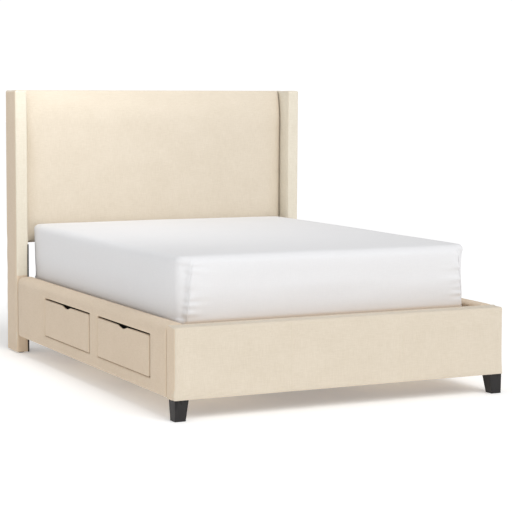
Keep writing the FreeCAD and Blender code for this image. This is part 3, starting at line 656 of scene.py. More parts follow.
def make_black_wood():
    """Black satin stain that lets a little grain through."""
    material, n, shader, place = new_material("black_stained_wood")
    squeezed = n.stretch(place, (1.0, 1.0, 0.12))
    grain = use_group(n, GRAIN, squeezed, Bands=40.0)
    patches = use_group(n, PATCHES, place, Size=20.0)
    stained = n.blend(grain.outputs["Bands"], (0.012, 0.011, 0.0115, 1), (0.022, 0.020, 0.020, 1))
    dusty = n.times(patches.outputs["Specks"], 0.15)
    n.link(n.blend(dusty, stained, (0.12, 0.115, 0.11, 1)), shader.inputs["Base Color"])
    n.link(n.span(patches.outputs["Patches"], 0, 1, 0.42, 0.56), shader.inputs["Roughness"])
    shader.inputs["Specular IOR Level"].default_value = 0.3
    add_bump(n, shader, grain.outputs["Pores"], 0.12 * MM)
    return material


def make_steel():
    """Zinc plated sheet steel with a fine rolled finish."""
    material, n, shader, place = new_material("zinc_plated_steel")
    rolled = n.noise(n.stretch(place, (18, 700, 700)), 1.0)
    patches = use_group(n, PATCHES, place, Size=35.0)
    n.link(n.blend(patches.outputs["Patches"], (0.50, 0.51, 0.52, 1), (0.62, 0.63, 0.65, 1)),
           shader.inputs["Base Color"])
    n.link(n.span(rolled, 0.3, 0.7, 0.28, 0.42), shader.inputs["Roughness"])
    shader.inputs["Metallic"].default_value = 1.0
    add_bump(n, shader, rolled, 0.03 * MM)
    return material


def make_plastic():
    """Moulded black plastic with a fine texture."""
    material, n, shader, place = new_material("moulded_black_plastic")
    pebble = n.noise(place, 1800.0, detail=1.0)
    patches = use_group(n, PATCHES, place, Size=30.0)
    n.link(n.blend(patches.outputs["Patches"], (0.020, 0.020, 0.021, 1), (0.034, 0.034, 0.035, 1)),
           shader.inputs["Base Color"])
    n.link(n.span(pebble, 0.3, 0.7, 0.5, 0.62), shader.inputs["Roughness"])
    add_bump(n, shader, pebble, 0.08 * MM)
    return material


def make_floor_material():
    """Plain pale floor with a faint unevenness."""
    material, n, shader, place = new_material("pale_floor")
    patches = use_group(n, PATCHES, place, Size=0.6)
    n.link(n.blend(patches.outputs["Patches"], (0.93, 0.93, 0.93, 1), (0.95, 0.95, 0.95, 1)),
           shader.inputs["Base Color"])
    shader.inputs["Emission Color"].default_value = (1, 1, 1, 1)
    shader.inputs["Emission Strength"].default_value = FLOOR_GLOW
    shader.inputs["Roughness"].default_value = 0.9
    shader.inputs["Specular IOR Level"].default_value = 0.1
    return material


LINEN = make_linen("cream_linen", (0.745, 0.665, 0.550, 1), (0.662, 0.580, 0.462, 1))
# Painted shade: a darker, warmer copy of the linen for the rails, the drawer fronts, the outward side faces
# and the wing fronts below the rail.
SHADED_LINEN = make_linen("cream_linen_painted_shade", (0.770, 0.635, 0.488, 1), (0.686, 0.555, 0.409, 1))
# Painted light: a paler copy of the linen for the wings' front strips and inner faces above the rail.
LIT_LINEN = make_linen("cream_linen_painted_light", (0.805, 0.749, 0.634, 1), (0.715, 0.654, 0.533, 1))
COTTON = make_cloth("white_percale", (0.815, 0.815, 0.828, 1), (0.785, 0.785, 0.799, 1),
                    0.35 * MM, 0.15, 0.04 * MM, 0.72, 0.1)
TICKING = make_cloth("mattress_ticking", (0.80, 0.79, 0.76, 1), (0.71, 0.70, 0.67, 1),
                     1.6 * MM, 0.3, 0.3 * MM, 0.85, 0.1)
# Near-black felt that paints shade into the gaps above the drawer fronts.
SHADE_FELT = make_cloth("black_felt_painted_shade", (0.012, 0.012, 0.012, 1), (0.006, 0.006, 0.006, 1),
                        0.8 * MM, 1.0, 0.2 * MM, 0.95, 0.0)
BLACK_WOOD = make_black_wood()
PINE_LIGHT = (0.74, 0.55, 0.33, 1)
PINE_DARK = (0.56, 0.36, 0.18, 1)
PINE = [make_wood("planed_pine_" + "xyz"[axis], PINE_LIGHT, PINE_DARK, axis) for axis in range(3)]
PLYWOOD = make_board("raw_plywood", (0.68, 0.51, 0.32, 1), (0.55, 0.38, 0.22, 1), (0.20, 0.11, 0.06, 1),
                     3 * MM, 0.6)
BIRCH = make_board("birch_plywood", (0.78, 0.64, 0.44, 1), (0.68, 0.52, 0.33, 1), (0.30, 0.18, 0.10, 1),
                   2 * MM, 0.42)
STEEL = make_steel()
PLASTIC = make_plastic()


# ---- headboard

def pad_fall(across, height, half):
    """How far the pad's face falls back over its rolled top and towards its sides."""
    roll = 0.0
    if height > 0:
        radius = (ROLL_DEPTH ** 2 + ROLL_HEIGHT ** 2) / (2 * ROLL_DEPTH)
        roll = radius - math.sqrt(radius ** 2 - min(height, ROLL_HEIGHT) ** 2)
    share = max(0.0, 1 - (half - abs(across)) / PAD_SIDE_WIDTH)
    side = PAD_SIDE_DEPTH * (1 - math.sqrt(1 - min(share, 1) ** 2))
    return roll + side


def make_headboard_padding():
    """Foam pad over the headboard: flat face, rolled top and soft sides."""
    low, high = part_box("headboard_pad")
    board_low, board_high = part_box("headboard_front_board")
    board = board_low.y
    frame_top = board_high.z
    face = low.y + SWELL
    roll_start = high.z - ROLL_HEIGHT
    bm = block_mesh(Vector((low.x, face, low.z)), high)
    # The lower part stops at the front board, and the top wraps back over the frame.
    slice_mesh(bm, 2, [frame_top])
    slice_mesh(bm, 1, [board])
    behind = []
    for part in bm.faces:
        centre = part.calc_center_median()
        if centre.z < frame_top - MM and centre.y > board + MM:
            behind.append(part)
    bmesh.ops.delete(bm, geom=behind, context="FACES")
    bmesh.ops.holes_fill(bm, edges=[edge for edge in bm.edges if edge.is_boundary], sides=8)
    bmesh.ops.recalc_face_normals(bm, faces=bm.faces)

    def face_edge(height):
        """A test for the edges of the front face at a height."""
        return lambda a, b: all(near(end.z, height) and near(end.y, face) for end in (a, b))

    round_edges(bm, PAD_TOP_EDGE, 3, face_edge(high.z))
    round_edges(bm, PAD_BASE_EDGE, 3, face_edge(low.z))
    slice_mesh(bm, 2, steps(roll_start, high.z - PAD_TOP_EDGE, ROLL_CELL) + [roll_start]
               + steps(low.z + PAD_BASE_EDGE, roll_start, PAD_CELL))
    for side in (-1, 1):
        slice_mesh(bm, 0, [side * (high.x - PAD_SIDE_WIDTH * share) for share in PAD_SIDE_CUTS])
    flat_end = high.x - PAD_SIDE_WIDTH
    slice_mesh(bm, 0, steps(-flat_end, flat_end, PAD_CELL))
    for vertex in bm.verts:
        fall = pad_fall(vertex.co.x, vertex.co.z - roll_start, high.x)
        over_frame = vertex.co.z > frame_top + MM
        if vertex.co.y < board - MM:
            limit = high.y - PAD_REAR if over_frame else board - MM
            vertex.co.y = min(vertex.co.y + fall, limit)
        elif over_frame and near(vertex.co.y, board):
            vertex.co.y = min(face + fall + PAD_WRAP, high.y - PAD_REAR_TURN)
    piece = finish_piece("headboard_padding", bm, LINEN, "bed_frame", ["headboard_pad"])

    def held(co):
        at_back = co.y > board - PINNED and co.z < frame_top
        return at_back or co.z > high.z - MM or near(abs(co.x), high.x, MM)

    inflate(piece, held, 2 * SWELL)
    pad_out(piece)


def make_headboard_backing():
    """Thin covered board on the back of the headboard, with its fabric pulled in at the edges."""
    low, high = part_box("headboard_back_cover")
    bm = block_mesh(low, high)
    slice_mesh(bm, 0, steps(low.x, high.x, BACKING_CELL))
    slice_mesh(bm, 2, steps(low.z, high.z, BACKING_CELL))

    def rear_edge(a, b):
        at_side = near(a.x, b.x) and near(abs(a.x), high.x)
        at_end = near(a.z, b.z) and (near(a.z, low.z) or near(a.z, high.z))
        return near(a.y, high.y) and near(b.y, high.y) and (at_side or at_end)

    round_edges(bm, BACKING_EDGE, 2, rear_edge)
    piece = finish_piece("headboard_backing", bm, LINEN, "bed_frame", ["headboard_back_cover"])
    for vertex in piece.data.vertices:
        if vertex.co.y > high.y - MM:
            slack = noise.noise(Vector((vertex.co.x * 3, 0, vertex.co.z * 9)))
            vertex.co.y -= BACKING_SLACK * (0.5 + slack)
    pad_out(piece)


# ---- wings

def make_wing_paddings():
    """Padded wings with a sewn front strip and a seat for the liner, pinned at the base."""
    low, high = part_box("wing_cover_left")
    core_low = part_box("wing_core_left")[0]
    liner_low, liner_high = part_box("wing_liner_left")
    top = high.z - WING_SWELL
    inner = high.x - WING_SWELL
    bm = block_mesh(low + Vector((WING_SWELL, WING_SWELL, 0)), Vector((inner, high.y, top)))
    at_top = level_at(top)
    round_edges(bm, WING_EDGE, 4, lambda a, b: upright(a, b) or at_top(a, b))
    slice_mesh(bm, 2, steps(low.z, high.z, WING_ROW) + [liner_high.z])
    slice_mesh(bm, 1, steps(low.y + WING_EDGE, high.y - WING_EDGE, WING_CELL))
    slice_mesh(bm, 0, steps(low.x + WING_EDGE, high.x - WING_EDGE, WING_EDGE))
    piece = finish_piece("wing_padding_left", bm, LINEN, "bed_frame", ["wing_cover_left"])

    def held(co):
        at_base = co.z < low.z + MM
        by_liner = near(co.x, inner, MM) and co.z < liner_high.z
        by_pad = near(co.x, inner, MM) and co.y > core_low.y + WING_PINNED
        at_back = co.y > high.y - MM
        return at_base or by_liner or by_pad or at_back

    inflate(piece, held, 2 * WING_SWELL)
    for vertex in piece.data.vertices:
        if vertex.co.x > liner_low.x and vertex.co.z < liner_high.z - MM:
            vertex.co.x = liner_low.x
    # Seam allowances of the front strip show as faint ridges beside its two long seams.
    strip = high.x - low.x
    for share in STRIP_RIDGES:
        press_seam(piece, 0, low.x + strip * share, -RIDGE_HEIGHT, RIDGE_SPREAD,
                   lambda co: co.y < low.y + RIDGE_FACE)
    for share in STRIP_SEAMS:
        press_seam(piece, 0, low.x + strip * share, STRIP_DEPTH, STRIP_SPREAD,
                   lambda co: co.y < low.y + STRIP_FACE)
    other = copied_piece(piece, "wing_padding_right", "bed_frame", ["wing_cover_right"], mirror=True)
    # The wings take painted shade on their outer faces and below the rail, and painted light on their fronts
    # and inner faces above it.
    for wing in (piece, other):
        face_sides(wing)
        face_wing(wing)
        pad_out(wing)


# ---- side rails

def rail_profile(low, high):
    """Outline across the left rail's cover: outer face, top, flap down the inner face, turned base."""
    outer = low.x + SWELL
    top = high.z - SWELL
    return [
        (outer, low.z),
        (outer, top),
        (high.x + FLAP, top),
        (high.x + FLAP, top - FLAP_DEPTH),
        (high.x, top - FLAP_DEPTH),
        (high.x, high.z - PADDING),
        (low.x + PADDING, high.z - PADDING),
        (low.x + PADDING, low.z + FABRIC),
        (high.x, low.z + FABRIC),
        (high.x, low.z),
    ]


def make_rail_paddings():
    """Padded side rail covers with two drawer openings each."""
    low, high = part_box("side_rail_cover_left")
    bm = bmesh.new()
    bm.faces.new([bm.verts.new((x, low.y, z)) for x, z in rail_profile(low, high)])
    for x, radius, segments in ((low.x + SWELL, RAIL_CROWN, 7), (high.x + FLAP, INNER_CROWN, 4)):
        corner = [vertex for vertex in bm.verts if near(vertex.co.x, x) and near(vertex.co.z, high.z - SWELL)]
        bmesh.ops.bevel(bm, geom=corner, offset=radius, offset_type="OFFSET", affect="VERTICES",
                        segments=segments, profile=0.5, material=-1)
    grown = bmesh.ops.extrude_face_region(bm, geom=bm.faces[:], use_keep_orig=True)
    far = [item for item in grown["geom"] if isinstance(item, bmesh.types.BMVert)]
    bmesh.ops.translate(bm, vec=(0, high.y - low.y, 0), verts=far)
    bmesh.ops.recalc_face_normals(bm, faces=bm.faces)
    openings = [rail_opening(end_name) for end_name in ENDS]
    for opening in openings:
        slice_mesh(bm, 1, opening[:2])
    slice_mesh(bm, 2, openings[0][2:])
    for opening in openings:
        cut_opening(bm, low.x + SWELL, low.x + PADDING, *opening)
    divider = (openings[0][1] + openings[1][0]) / 2
    slice_mesh(bm, 1, steps(low.y, high.y, COVER_CELL) + seam_places(divider))
    slice_mesh(bm, 2, steps(low.z, high.z - RAIL_CROWN, COVER_CELL))
    slice_mesh(bm, 0, steps(low.x + RAIL_CROWN, high.x - INNER_CROWN, COVER_DEPTH))
    # The whole rail cover takes the darker, warmer linen copy, as painted shade.
    piece = finish_piece("side_rail_padding_left", bm, SHADED_LINEN, "bed_frame", ["side_rail_cover_left"])
    board = low.x + PADDING - MM

    def held(co):
        under = co.z < low.z + FABRIC + MM
        behind = co.x > board and co.z < high.z - PADDING + MM
        at_end = co.y < low.y + MM or co.y > high.y - MM
        flap = co.x > high.x - MM and co.z < high.z - INNER_CROWN
        edge = any(near_side - MM < co.y < far_side + MM and base - MM < co.z < top + MM
                   for near_side, far_side, base, top in openings)
        return under or behind or at_end or flap or edge

    def on_face(co):
        return co.x < board and co.z > low.z + RAIL_SEAM_BASE or co.z > high.z - RAIL_SEAM_TOP

    inflate(piece, held, 2 * SWELL)
    press_seam(piece, 1, divider, DIVIDER_DEPTH, SEAM_SPREAD, on_face)
    other = copied_piece(piece, "side_rail_padding_right", "bed_frame", ["side_rail_cover_right"],
                         mirror=True)
    pad_out(piece)
    pad_out(other)


def make_shade_strips():
    """Black felt strips that close the tops of the drawer openings behind the fronts, painting shade into the
    gaps above the fronts.
    """
    for side, sign in (("left", 1), ("right", -1)):
        for end in ENDS:
            near_side, far_side, _, top = rail_opening(end)
            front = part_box("drawer_left_%s_front" % end)[1].x + FELT_GAP
            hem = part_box("drawer_left_%s_walls" % end)[1].z + FELT_GAP
            bm = block_mesh(Vector((front, near_side, hem)), Vector((front + FELT, far_side, top)))
            slice_mesh(bm, 1, steps(near_side, far_side, FELT_CELL))
            round_edges(bm, FELT_EDGE, 2, lambda a, b: near(a.z, b.z) and near(a.z, hem))
            bmesh.ops.scale(bm, vec=(sign, 1, 1), verts=bm.verts)
            bmesh.ops.recalc_face_normals(bm, faces=bm.faces)
            finish_piece("shade_strip_%s_%s" % (side, end), bm, SHADE_FELT, "bed_frame", [])


def rail_opening(end):
    """A drawer opening of the left rail: its two ends along the rail, its base and its top."""
    low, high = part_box("drawer_left_%s_front" % end)
    return (low.y - OPENING_SIDE_GAP, high.y + OPENING_SIDE_GAP,
            low.z - OPENING_LOW_GAP, high.z + OPENING_TOP_GAP)


def cut_opening(bm, outer, inner, near_side, far_side, base, top):
    """Open a drawer hole through a padded face and wall its four sides."""
    def in_hole(middle):
        return near_side < middle.y < far_side and base < middle.z < top

    rims = []
    for place in (outer, inner):
        inside = faces_at(bm, 0, place, in_hole)
        edges = {edge for face in inside for edge in face.edges}
        rims.extend(edge for edge in edges if sum(face in inside for face in edge.link_faces) == 1)
        bmesh.ops.delete(bm, geom=inside, context="FACES")
    bmesh.ops.bridge_loops(bm, edges=[edge for edge in rims if edge.is_valid])


# ---- footboard

def make_footboard_padding():
    """Padded footboard cover in three sewn panels, hollow round its board and timbers."""
    low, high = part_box("footboard_cover")
    front = low.y + SWELL
    half = high.x - SWELL
    top = high.z - SWELL
    bm = block_mesh(Vector((-half, front, low.z)), Vector((half, high.y, top)))
    at_top = level_at(top)
    round_edges(bm, FOOTBOARD_CORNER, 5, lambda a, b: upright(a, b) and near(a.y, front))
    round_edges(bm, FOOTBOARD_CROWN, 6, lambda a, b: at_top(a, b) and min(a.y, b.y) < high.y - MM)
    wall = half - (PADDING - SWELL)
    ceiling = high.z - PADDING
    slice_mesh(bm, 0, [-wall, wall])
    slice_mesh(bm, 2, [low.z + FABRIC, ceiling])
    open_face = faces_at(bm, 1, high.y, lambda middle: abs(middle.x) < wall
                         and low.z + FABRIC < middle.z < ceiling)
    grown = bmesh.ops.extrude_face_region(bm, geom=open_face)
    deep = [item for item in grown["geom"] if isinstance(item, bmesh.types.BMVert)]
    bmesh.ops.translate(bm, vec=(0, low.y + PADDING - high.y, 0), verts=deep)
    bmesh.ops.delete(bm, geom=[face for face in open_face if face.is_valid], context="FACES")
    seams = [share * (high.x - low.x) / 6 for share in (-1, 1)]
    corner_seam = front + FOOTBOARD_CORNER
    slice_mesh(bm, 0, steps(-half + FOOTBOARD_CORNER, half - FOOTBOARD_CORNER, COVER_CELL)
               + seam_places(seams[0]) + seam_places(seams[1]))
    slice_mesh(bm, 2, steps(low.z, top - FOOTBOARD_CROWN, COVER_ROW))
    slice_mesh(bm, 1, steps(corner_seam, high.y, COVER_DEPTH)
               + [corner_seam + CORNER_CUT * share for share in (-SEAM_CUTS[0], *SEAM_CUTS)])
    piece = finish_piece("footboard_padding", bm, LINEN, "bed_frame", ["footboard_cover"])

    def held(co):
        within = abs(co.x) < wall + MM and low.y + PADDING - MM < co.y and co.z < ceiling + MM
        return within or co.z < low.z + FABRIC + MM or co.y > high.y - MM

    def on_front(co):
        return co.y < low.y + PADDING / 2 or co.z > high.z - PANEL_SEAM_TOP and co.y < high.y - MM

    def on_end(co):
        return abs(co.x) > half - MM and co.z < high.z - CORNER_SEAM_TOP

    inflate(piece, held, 2 * SWELL)
    for seam in seams:
        press_seam(piece, 0, seam, SEAM_DEPTH, SEAM_SPREAD, on_front)
    press_seam(piece, 1, corner_seam, CORNER_DEPTH, CORNER_SPREAD, on_end)
    # The footboard's end panels take painted shade.
    face_sides(piece)
    pad_out(piece)


# ---- drawer fronts

def make_drawer_fronts():
    """Upholstered drawer fronts with an arc notch for the fingers."""
    low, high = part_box("drawer_left_foot_front")
    middle = (low.y + high.y) / 2
    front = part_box("side_rail_cover_left")[0].x + FRONT_INSET
    low = Vector((front, low.y + FOOT_GAP, low.z - LOW_GAP))
    high = Vector((high.x, high.y + HEAD_GAP, high.z - TOP_GAP))
    bm = block_mesh(low, high)
    reach = math.sqrt(NOTCH_RADIUS ** 2 - (NOTCH_RADIUS - NOTCH_DEPTH) ** 2)
    centre = high.z + NOTCH_RADIUS - NOTCH_DEPTH
    rear_reach = reach + NOTCH_FLARE
    slice_mesh(bm, 1, [middle - reach, middle + reach]
               + steps(middle - rear_reach, middle + rear_reach, NOTCH_CELL))
    for vertex in bm.verts:
        across = vertex.co.y - middle
        if not near(vertex.co.z, high.z):
            continue
        if near(vertex.co.x, front) and abs(across) < reach - NOTCH_END:
            vertex.co.z = centre - math.sqrt(NOTCH_RADIUS ** 2 - across ** 2)
        if near(vertex.co.x, high.x) and abs(across) < rear_reach - NOTCH_END:
            vertex.co.z -= NOTCH_REAR * (1 - (across / rear_reach) ** 2)

    def on_face_rim(a, b):
        if not (near(a.x, front) and near(b.x, front)):
            return False
        at_end = near(a.y, b.y) and (near(a.y, low.y) or near(a.y, high.y))
        level = near(a.z, low.z) and near(b.z, low.z)
        upper = min(a.z, b.z) > high.z - NOTCH_DEPTH - MM and not near(a.y, b.y)
        return at_end or level or upper

    round_edges(bm, FRONT_EDGE, 4, on_face_rim)
    slice_mesh(bm, 1, steps(low.y + FRONT_EDGE, middle - reach, FRONT_CELL)
               + steps(middle + reach, high.y - FRONT_EDGE, FRONT_CELL))
    slice_mesh(bm, 2, steps(low.z + FRONT_EDGE, high.z - FRONT_EDGE, FRONT_CELL))
    # The fronts take the darker, warmer linen copy, as painted shade.
    first = finish_piece("drawer_left_foot_upholstery", bm, SHADED_LINEN, "drawer_left_foot",
                         ["drawer_left_foot_front"])
    inflate(first, lambda co: co.x > front + FRONT_EDGE * 0.9, 2.5 * FRONT_SWELL)
    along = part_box("drawer_left_head_front")[0].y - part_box("drawer_left_foot_front")[0].y
    second = copied_piece(first, "drawer_left_head_upholstery", "drawer_left_head",
                          ["drawer_left_head_front"], offset=(0, along, 0))
    pieces = [first, second]
    for end, source in zip(ENDS, (first, second)):
        pieces.append(copied_piece(source, "drawer_right_%s_upholstery" % end, "drawer_right_" + end,
                                   ["drawer_right_%s_front" % end], mirror=True))
    for piece in pieces:
        pad_out(piece)


# ---- bedding

def make_mattress():
    """Mattress in knitted ticking, quilted on top and rounded at its top and bottom edges."""
    low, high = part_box("mattress")
    top = high.z - MATTRESS_INSET
    bm = block_mesh(low + Vector((MATTRESS_INSET, MATTRESS_INSET, 0)),
                    Vector((high.x - MATTRESS_INSET, high.y - MATTRESS_INSET, top)))
    round_edges(bm, MATTRESS_CORNER, 12, upright)
    round_edges(bm, MATTRESS_EDGE, 5, lambda a, b: near(a.z, b.z) and (near(a.z, low.z) or near(a.z, top)))
    for axis in (0, 1):
        slice_mesh(bm, axis, steps(low[axis] + MATTRESS_MARGIN, high[axis] - MATTRESS_MARGIN, MATTRESS_CELL))
    slice_mesh(bm, 2, steps(low.z + MATTRESS_EDGE, top - MATTRESS_EDGE, MATTRESS_CELL))
    piece = finish_piece("mattress_body", bm, TICKING, "mattress", ["mattress"])
    for vertex in piece.data.vertices:
        if vertex.co.z > top - MM:
            quilt = math.sin(vertex.co.x * QUILT_PACE) * math.sin(vertex.co.y * QUILT_PACE)
            vertex.co.z -= QUILT_DEPTH * (1 + quilt)
    tuck_corners(piece, *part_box("fitted_sheet"))
    pad_out(piece)


def round_corner(co, low, high):
    """Distance along the walls from a corner's middle: above 0 to the end, below 0 to the long side."""
    across = abs(co.x) - (high.x - MATTRESS_CORNER)
    along = max(low.y + MATTRESS_CORNER - co.y, co.y - (high.y - MATTRESS_CORNER))
    quarter = MATTRESS_CORNER * math.pi / 4
    if across > 0 and along > 0:
        return MATTRESS_CORNER * (math.atan2(along, across) - math.pi / 4)
    if along <= 0:
        return along - quarter
    return quarter - across


def dart_place(z, low, high):
    """Where a corner's sewn dart lies at a height: it leans to the long side on its way down."""
    down = (high.z - z) / (high.z - low.z)
    return DART_TOP - DART_LEAN * min(max(down, 0), 1)


def make_sheet():
    """Fitted sheet pulled over the mattress, with a sewn dart at each corner and a turned-under hem."""
    low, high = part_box("fitted_sheet")
    base = low.z
    top = high.z - SHEET_SWELL
    bm = block_mesh(low + Vector((SHEET_SWELL, SHEET_SWELL, 0)),
                    high - Vector((SHEET_SWELL, SHEET_SWELL, SHEET_SWELL)))
    round_edges(bm, MATTRESS_CORNER, 14, upright)
    round_edges(bm, MATTRESS_EDGE, 6, level_at(top))
    round_edges(bm, SHEET_BASE_EDGE, 4, level_at(base))
    across = high.x - SHEET_RETURN
    foot = low.y + SHEET_RETURN
    head = high.y - SHEET_RETURN
    slice_mesh(bm, 0, [-across, across])
    slice_mesh(bm, 1, [foot, head])
    open_base = faces_at(bm, 2, base, lambda middle: abs(middle.x) < across and foot < middle.y < head)
    bmesh.ops.delete(bm, geom=open_base, context="FACES")
    for axis in (0, 1):
        start = low[axis]
        stop = high[axis]
        slice_mesh(bm, axis, steps(start + MATTRESS_CORNER, start + SHEET_BUSY, SHEET_FINE)
                   + steps(stop - SHEET_BUSY, stop - MATTRESS_CORNER, SHEET_FINE)
                   + steps(start + SHEET_BUSY, stop - SHEET_BUSY, SHEET_COARSE))
    slice_mesh(bm, 2, steps(base + SHEET_BASE_EDGE, top - MATTRESS_EDGE, SHEET_ROW))
    piece = finish_piece("bed_sheet", bm, COTTON, "mattress", ["fitted_sheet"])

    def gathered(co):
        """How much a point belongs to a corner dart."""
        if co.z > top - GATHER_TOP:
            return 0.0
        return max(0.0, 1 - abs(round_corner(co, low, high)) / GATHER_REACH)

    inflate(piece, lambda co: co.z < base + PINNED, SHEET_GROWTH, gathered=gathered)
    tuck_corners(piece, low, high)
    wrinkle_sheet(piece, low, high)
    sew_darts(piece, low, high)
    thick = piece.modifiers.new("cloth thickness", "SOLIDIFY")
    thick.thickness = SHEET_THICKNESS
    thick.offset = -1.0


def wrinkle_sheet(piece, low, high):
    """Puckers beside each dart, long faint pulls on the walls and a slight wave over the top."""
    mesh = piece.data
    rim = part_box("footboard_cover")[1].z
    normals = [vertex.normal.copy() for vertex in mesh.vertices]
    for vertex, normal in zip(mesh.vertices, normals):
        co = vertex.co
        free = min(max((co.z - rim) / RIM_FADE, 0), 1)
        wall = 1 - abs(normal.z)
        away = round_corner(co, low, high) - dart_place(co.z, low, high)
        side = PUCKER_LONG if away > 0 else PUCKER_SHORT
        folds = Vector((away * PUCKER_ALONG, co.x + co.y, co.z * PUCKER_DOWN))
        pucker = noise.noise(folds) * math.exp(-(away / side) ** 2)
        pull = noise.noise(Vector((co.x * PULL_ALONG + co.y * PULL_ALONG, PULL_LAYER, co.z * PULL_DOWN)))
        wave = noise.noise(Vector((co.x * WAVE_ACROSS, co.y * WAVE_ALONG, WAVE_LAYER)))
        shift = free * wall * (PUCKER * pucker + PULL * pull) + WAVE * wave * max(normal.z, 0)
        vertex.co = co + normal * shift
        # The head end lies flat, clear of the headboard.
        vertex.co.y = min(vertex.co.y, high.y - HEAD_CLEARANCE)
    mesh.update()


def tuck_corners(piece, low, high):
    """Flatten the long side of each corner, so that the dart stands at a crease on the end's side."""
    mesh = piece.data
    normals = [vertex.normal.copy() for vertex in mesh.vertices]
    for vertex, normal in zip(mesh.vertices, normals):
        co = vertex.co
        away = dart_place(co.z, low, high) - round_corner(co, low, high)
        if away > 0:
            tuck = CREASE * (1 - math.exp(-away / CREASE_STEP)) * math.exp(-(away / CREASE_REACH) ** 2)
            vertex.co = co - normal * tuck * (1 - abs(normal.z))
    mesh.update()


def dart_route(sheet, low, high, across, along):
    """Points down one corner of the sheet, on its surface. The signs say which corner."""
    route = []
    reach = MATTRESS_CORNER * 1.5
    for share in range(DART_STEPS + 1):
        z = high.z - DART_TOP_GAP - (high.z - low.z - DART_TOP_GAP - DART_LOW_GAP) * share / DART_STEPS
        turn = math.pi / 4 + dart_place(z, low, high) / MATTRESS_CORNER
        x = high.x - MATTRESS_CORNER + reach * math.cos(turn)
        y = high.y - MATTRESS_CORNER + reach * math.sin(turn)
        if along < 0:
            y = low.y + MATTRESS_CORNER - reach * math.sin(turn)
        _, point, facing, _ = sheet.closest_point_on_mesh(Vector((across * x, y, z)))
        route.append(point + facing * DART_LIFT)
    return route


def sew_darts(sheet, low, high):
    """A narrow sewn ridge down each corner of the sheet."""
    corners = [(across, side, along, end) for across, side in zip((-1, 1), SIDES)
               for along, end in zip((-1, 1), ENDS)]
    for across, side, along, end in corners:
        route = dart_route(sheet, low, high, across, along)
        curve = bpy.data.curves.new("dart route", "CURVE")
        curve.dimensions = "3D"
        curve.bevel_depth = DART_WIDTH / 2
        curve.bevel_resolution = 2
        curve.use_fill_caps = True
        spline = curve.splines.new("NURBS")
        spline.points.add(len(route) - 1)
        for point, co in zip(spline.points, route):
            point.co = (*co, 1)
        spline.order_u = 3
        spline.use_endpoint_u = True
        holder = bpy.data.objects.new("dart route", curve)
        bm = bmesh.new()
        bm.from_mesh(bpy.data.meshes.new_from_object(holder))
        bpy.data.objects.remove(holder)
        bmesh.ops.remove_doubles(bm, verts=bm.verts, dist=WELD)
        bmesh.ops.recalc_face_normals(bm, faces=bm.faces)
        name = "sheet_dart_%s_%s" % (side, end)
        finish_piece(name, bm, COTTON, "mattress", ["fitted_sheet"])


# ---- timber, board and steel

def dress_nodes():
    """Give each carried-over CAD node its real finish."""
    finishes = {
        "wing_core": PLYWOOD, "wing_liner": BLACK_WOOD, "headboard_post": BLACK_WOOD,
        "headboard_cross_rails": PINE[0], "headboard_front_board": PLYWOOD, "head_rail": PINE[0],
        "side_rail_timbers": PINE[1], "side_rail_panel": PLYWOOD, "slat_cleat": PINE[1],
        "rail_joint_plates": STEEL, "footboard_panel": PLYWOOD, "footboard_timbers": PINE[0],
        "front_leg": BLACK_WOOD, "leg_bolts": STEEL, "centre_beam": PINE[1], "centre_legs": BLACK_WOOD,
        "centre_feet": PLASTIC, "head_glides": PLASTIC, "beam_hangers": STEEL, "slats": PINE[0],
        "drawer_bearers": PINE[0], "outer_slide_members": STEEL,
    }
    drawer_finishes = {"walls": BIRCH, "bottom": BIRCH, "middle_slides": STEEL, "inner_slides": STEEL}
    for name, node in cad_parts.items():
        if node.hide_render:
            continue
        finish = next((m for part, m in finishes.items() if name.startswith(part)), None)
        finish = finish or next((m for part, m in drawer_finishes.items() if name.endswith(part)), None)
        node.data.materials.clear()
        node.data.materials.append(finish)


# ---- floor, light and camera

def add_light(name, kind, place, aim, power):
    """A light at a place, turned to what it aims at and unseen by the camera."""
    light = bpy.data.lights.new(name, kind)
    light.energy = power
    lamp = bpy.data.objects.new(name, light)
    lamp.location = place
    lamp.rotation_mode = "QUATERNION"
    lamp.rotation_quaternion = (Vector(aim) - Vector(place)).to_track_quat("-Z", "Y")
    lamp.visible_camera = False
    scene.collection.objects.link(lamp)
    return lamp


def add_panel(name, place, aim, power):
    """A square soft light."""
    lamp = add_light(name, "AREA", place, aim, power)
    lamp.data.shape = "SQUARE"
    lamp.data.size = PANEL_SIZE


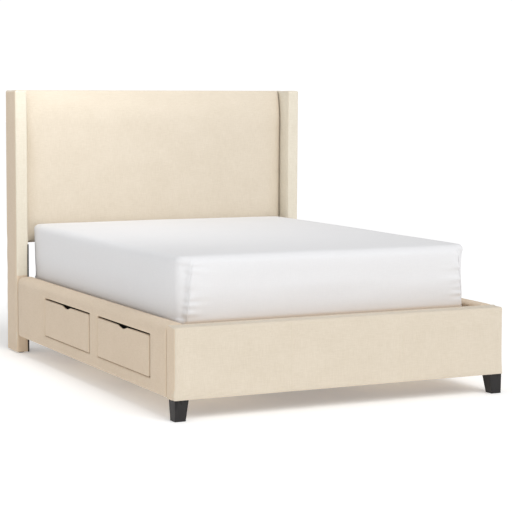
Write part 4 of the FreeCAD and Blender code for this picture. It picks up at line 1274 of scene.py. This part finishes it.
def make_stage():
    """Plain pale floor and soft studio light."""
    bm = bmesh.new()
    bmesh.ops.create_grid(bm, x_segments=1, y_segments=1, size=FLOOR_SIZE)
    mesh = bpy.data.meshes.new("floor")
    bm.to_mesh(mesh)
    bm.free()
    floor = bpy.data.objects.new("floor", mesh)
    floor.location = (0, 0, -0.5 * MM)
    mesh.materials.append(make_floor_material())
    scene.collection.objects.link(floor)
    world = bpy.data.worlds.new("studio")
    scene.world = world
    world.use_nodes = True
    n = Nodes(world.node_tree)
    background = world.node_tree.nodes["Background"]
    background.inputs["Color"].default_value = (1, 1, 1, 1)
    background.inputs["Strength"].default_value = ROOM_LIGHT
    seen = n.add("ShaderNodeBackground")
    seen.inputs["Color"].default_value = (1, 1, 1, 1)
    seen.inputs["Strength"].default_value = SEEN_BACKDROP
    path = n.add("ShaderNodeLightPath")
    mix = n.add("ShaderNodeMixShader")
    n.link(path.outputs["Is Camera Ray"], mix.inputs[0])
    n.link(background.outputs[0], mix.inputs[1])
    n.link(seen.outputs[0], mix.inputs[2])
    n.link(mix.outputs[0], world.node_tree.nodes["World Output"].inputs["Surface"])
    add_panel("overhead", OVERHEAD_FROM, OVERHEAD_AIM, OVERHEAD_POWER)
    add_panel("side fill", FILL_FROM, FILL_AIM, FILL_POWER)
    key = add_light("key", "SUN", KEY_FROM, KEY_AIM, KEY_POWER)
    key.data.angle = math.radians(KEY_SPREAD)


def make_camera():
    """The camera in front and to the left of the bed."""
    data = bpy.data.cameras.new("camera")
    data.sensor_width = 36
    data.lens = CAMERA_LENS
    data.shift_y = CAMERA_SHIFT
    data.clip_end = CAMERA_REACH
    camera = bpy.data.objects.new("camera", data)
    camera.location = CAMERA_PLACE
    camera.rotation_mode = "XYZ"
    camera.rotation_euler = (math.pi / 2 - CAMERA_PITCH, -CAMERA_ROLL, -CAMERA_YAW)
    scene.collection.objects.link(camera)
    scene.camera = camera


make_camera()
make_headboard_padding()
make_headboard_backing()
make_wing_paddings()
make_rail_paddings()
make_footboard_padding()
make_drawer_fronts()
make_shade_strips()
make_mattress()
make_sheet()
dress_nodes()
make_stage()
scene.view_settings.view_transform = "Standard"
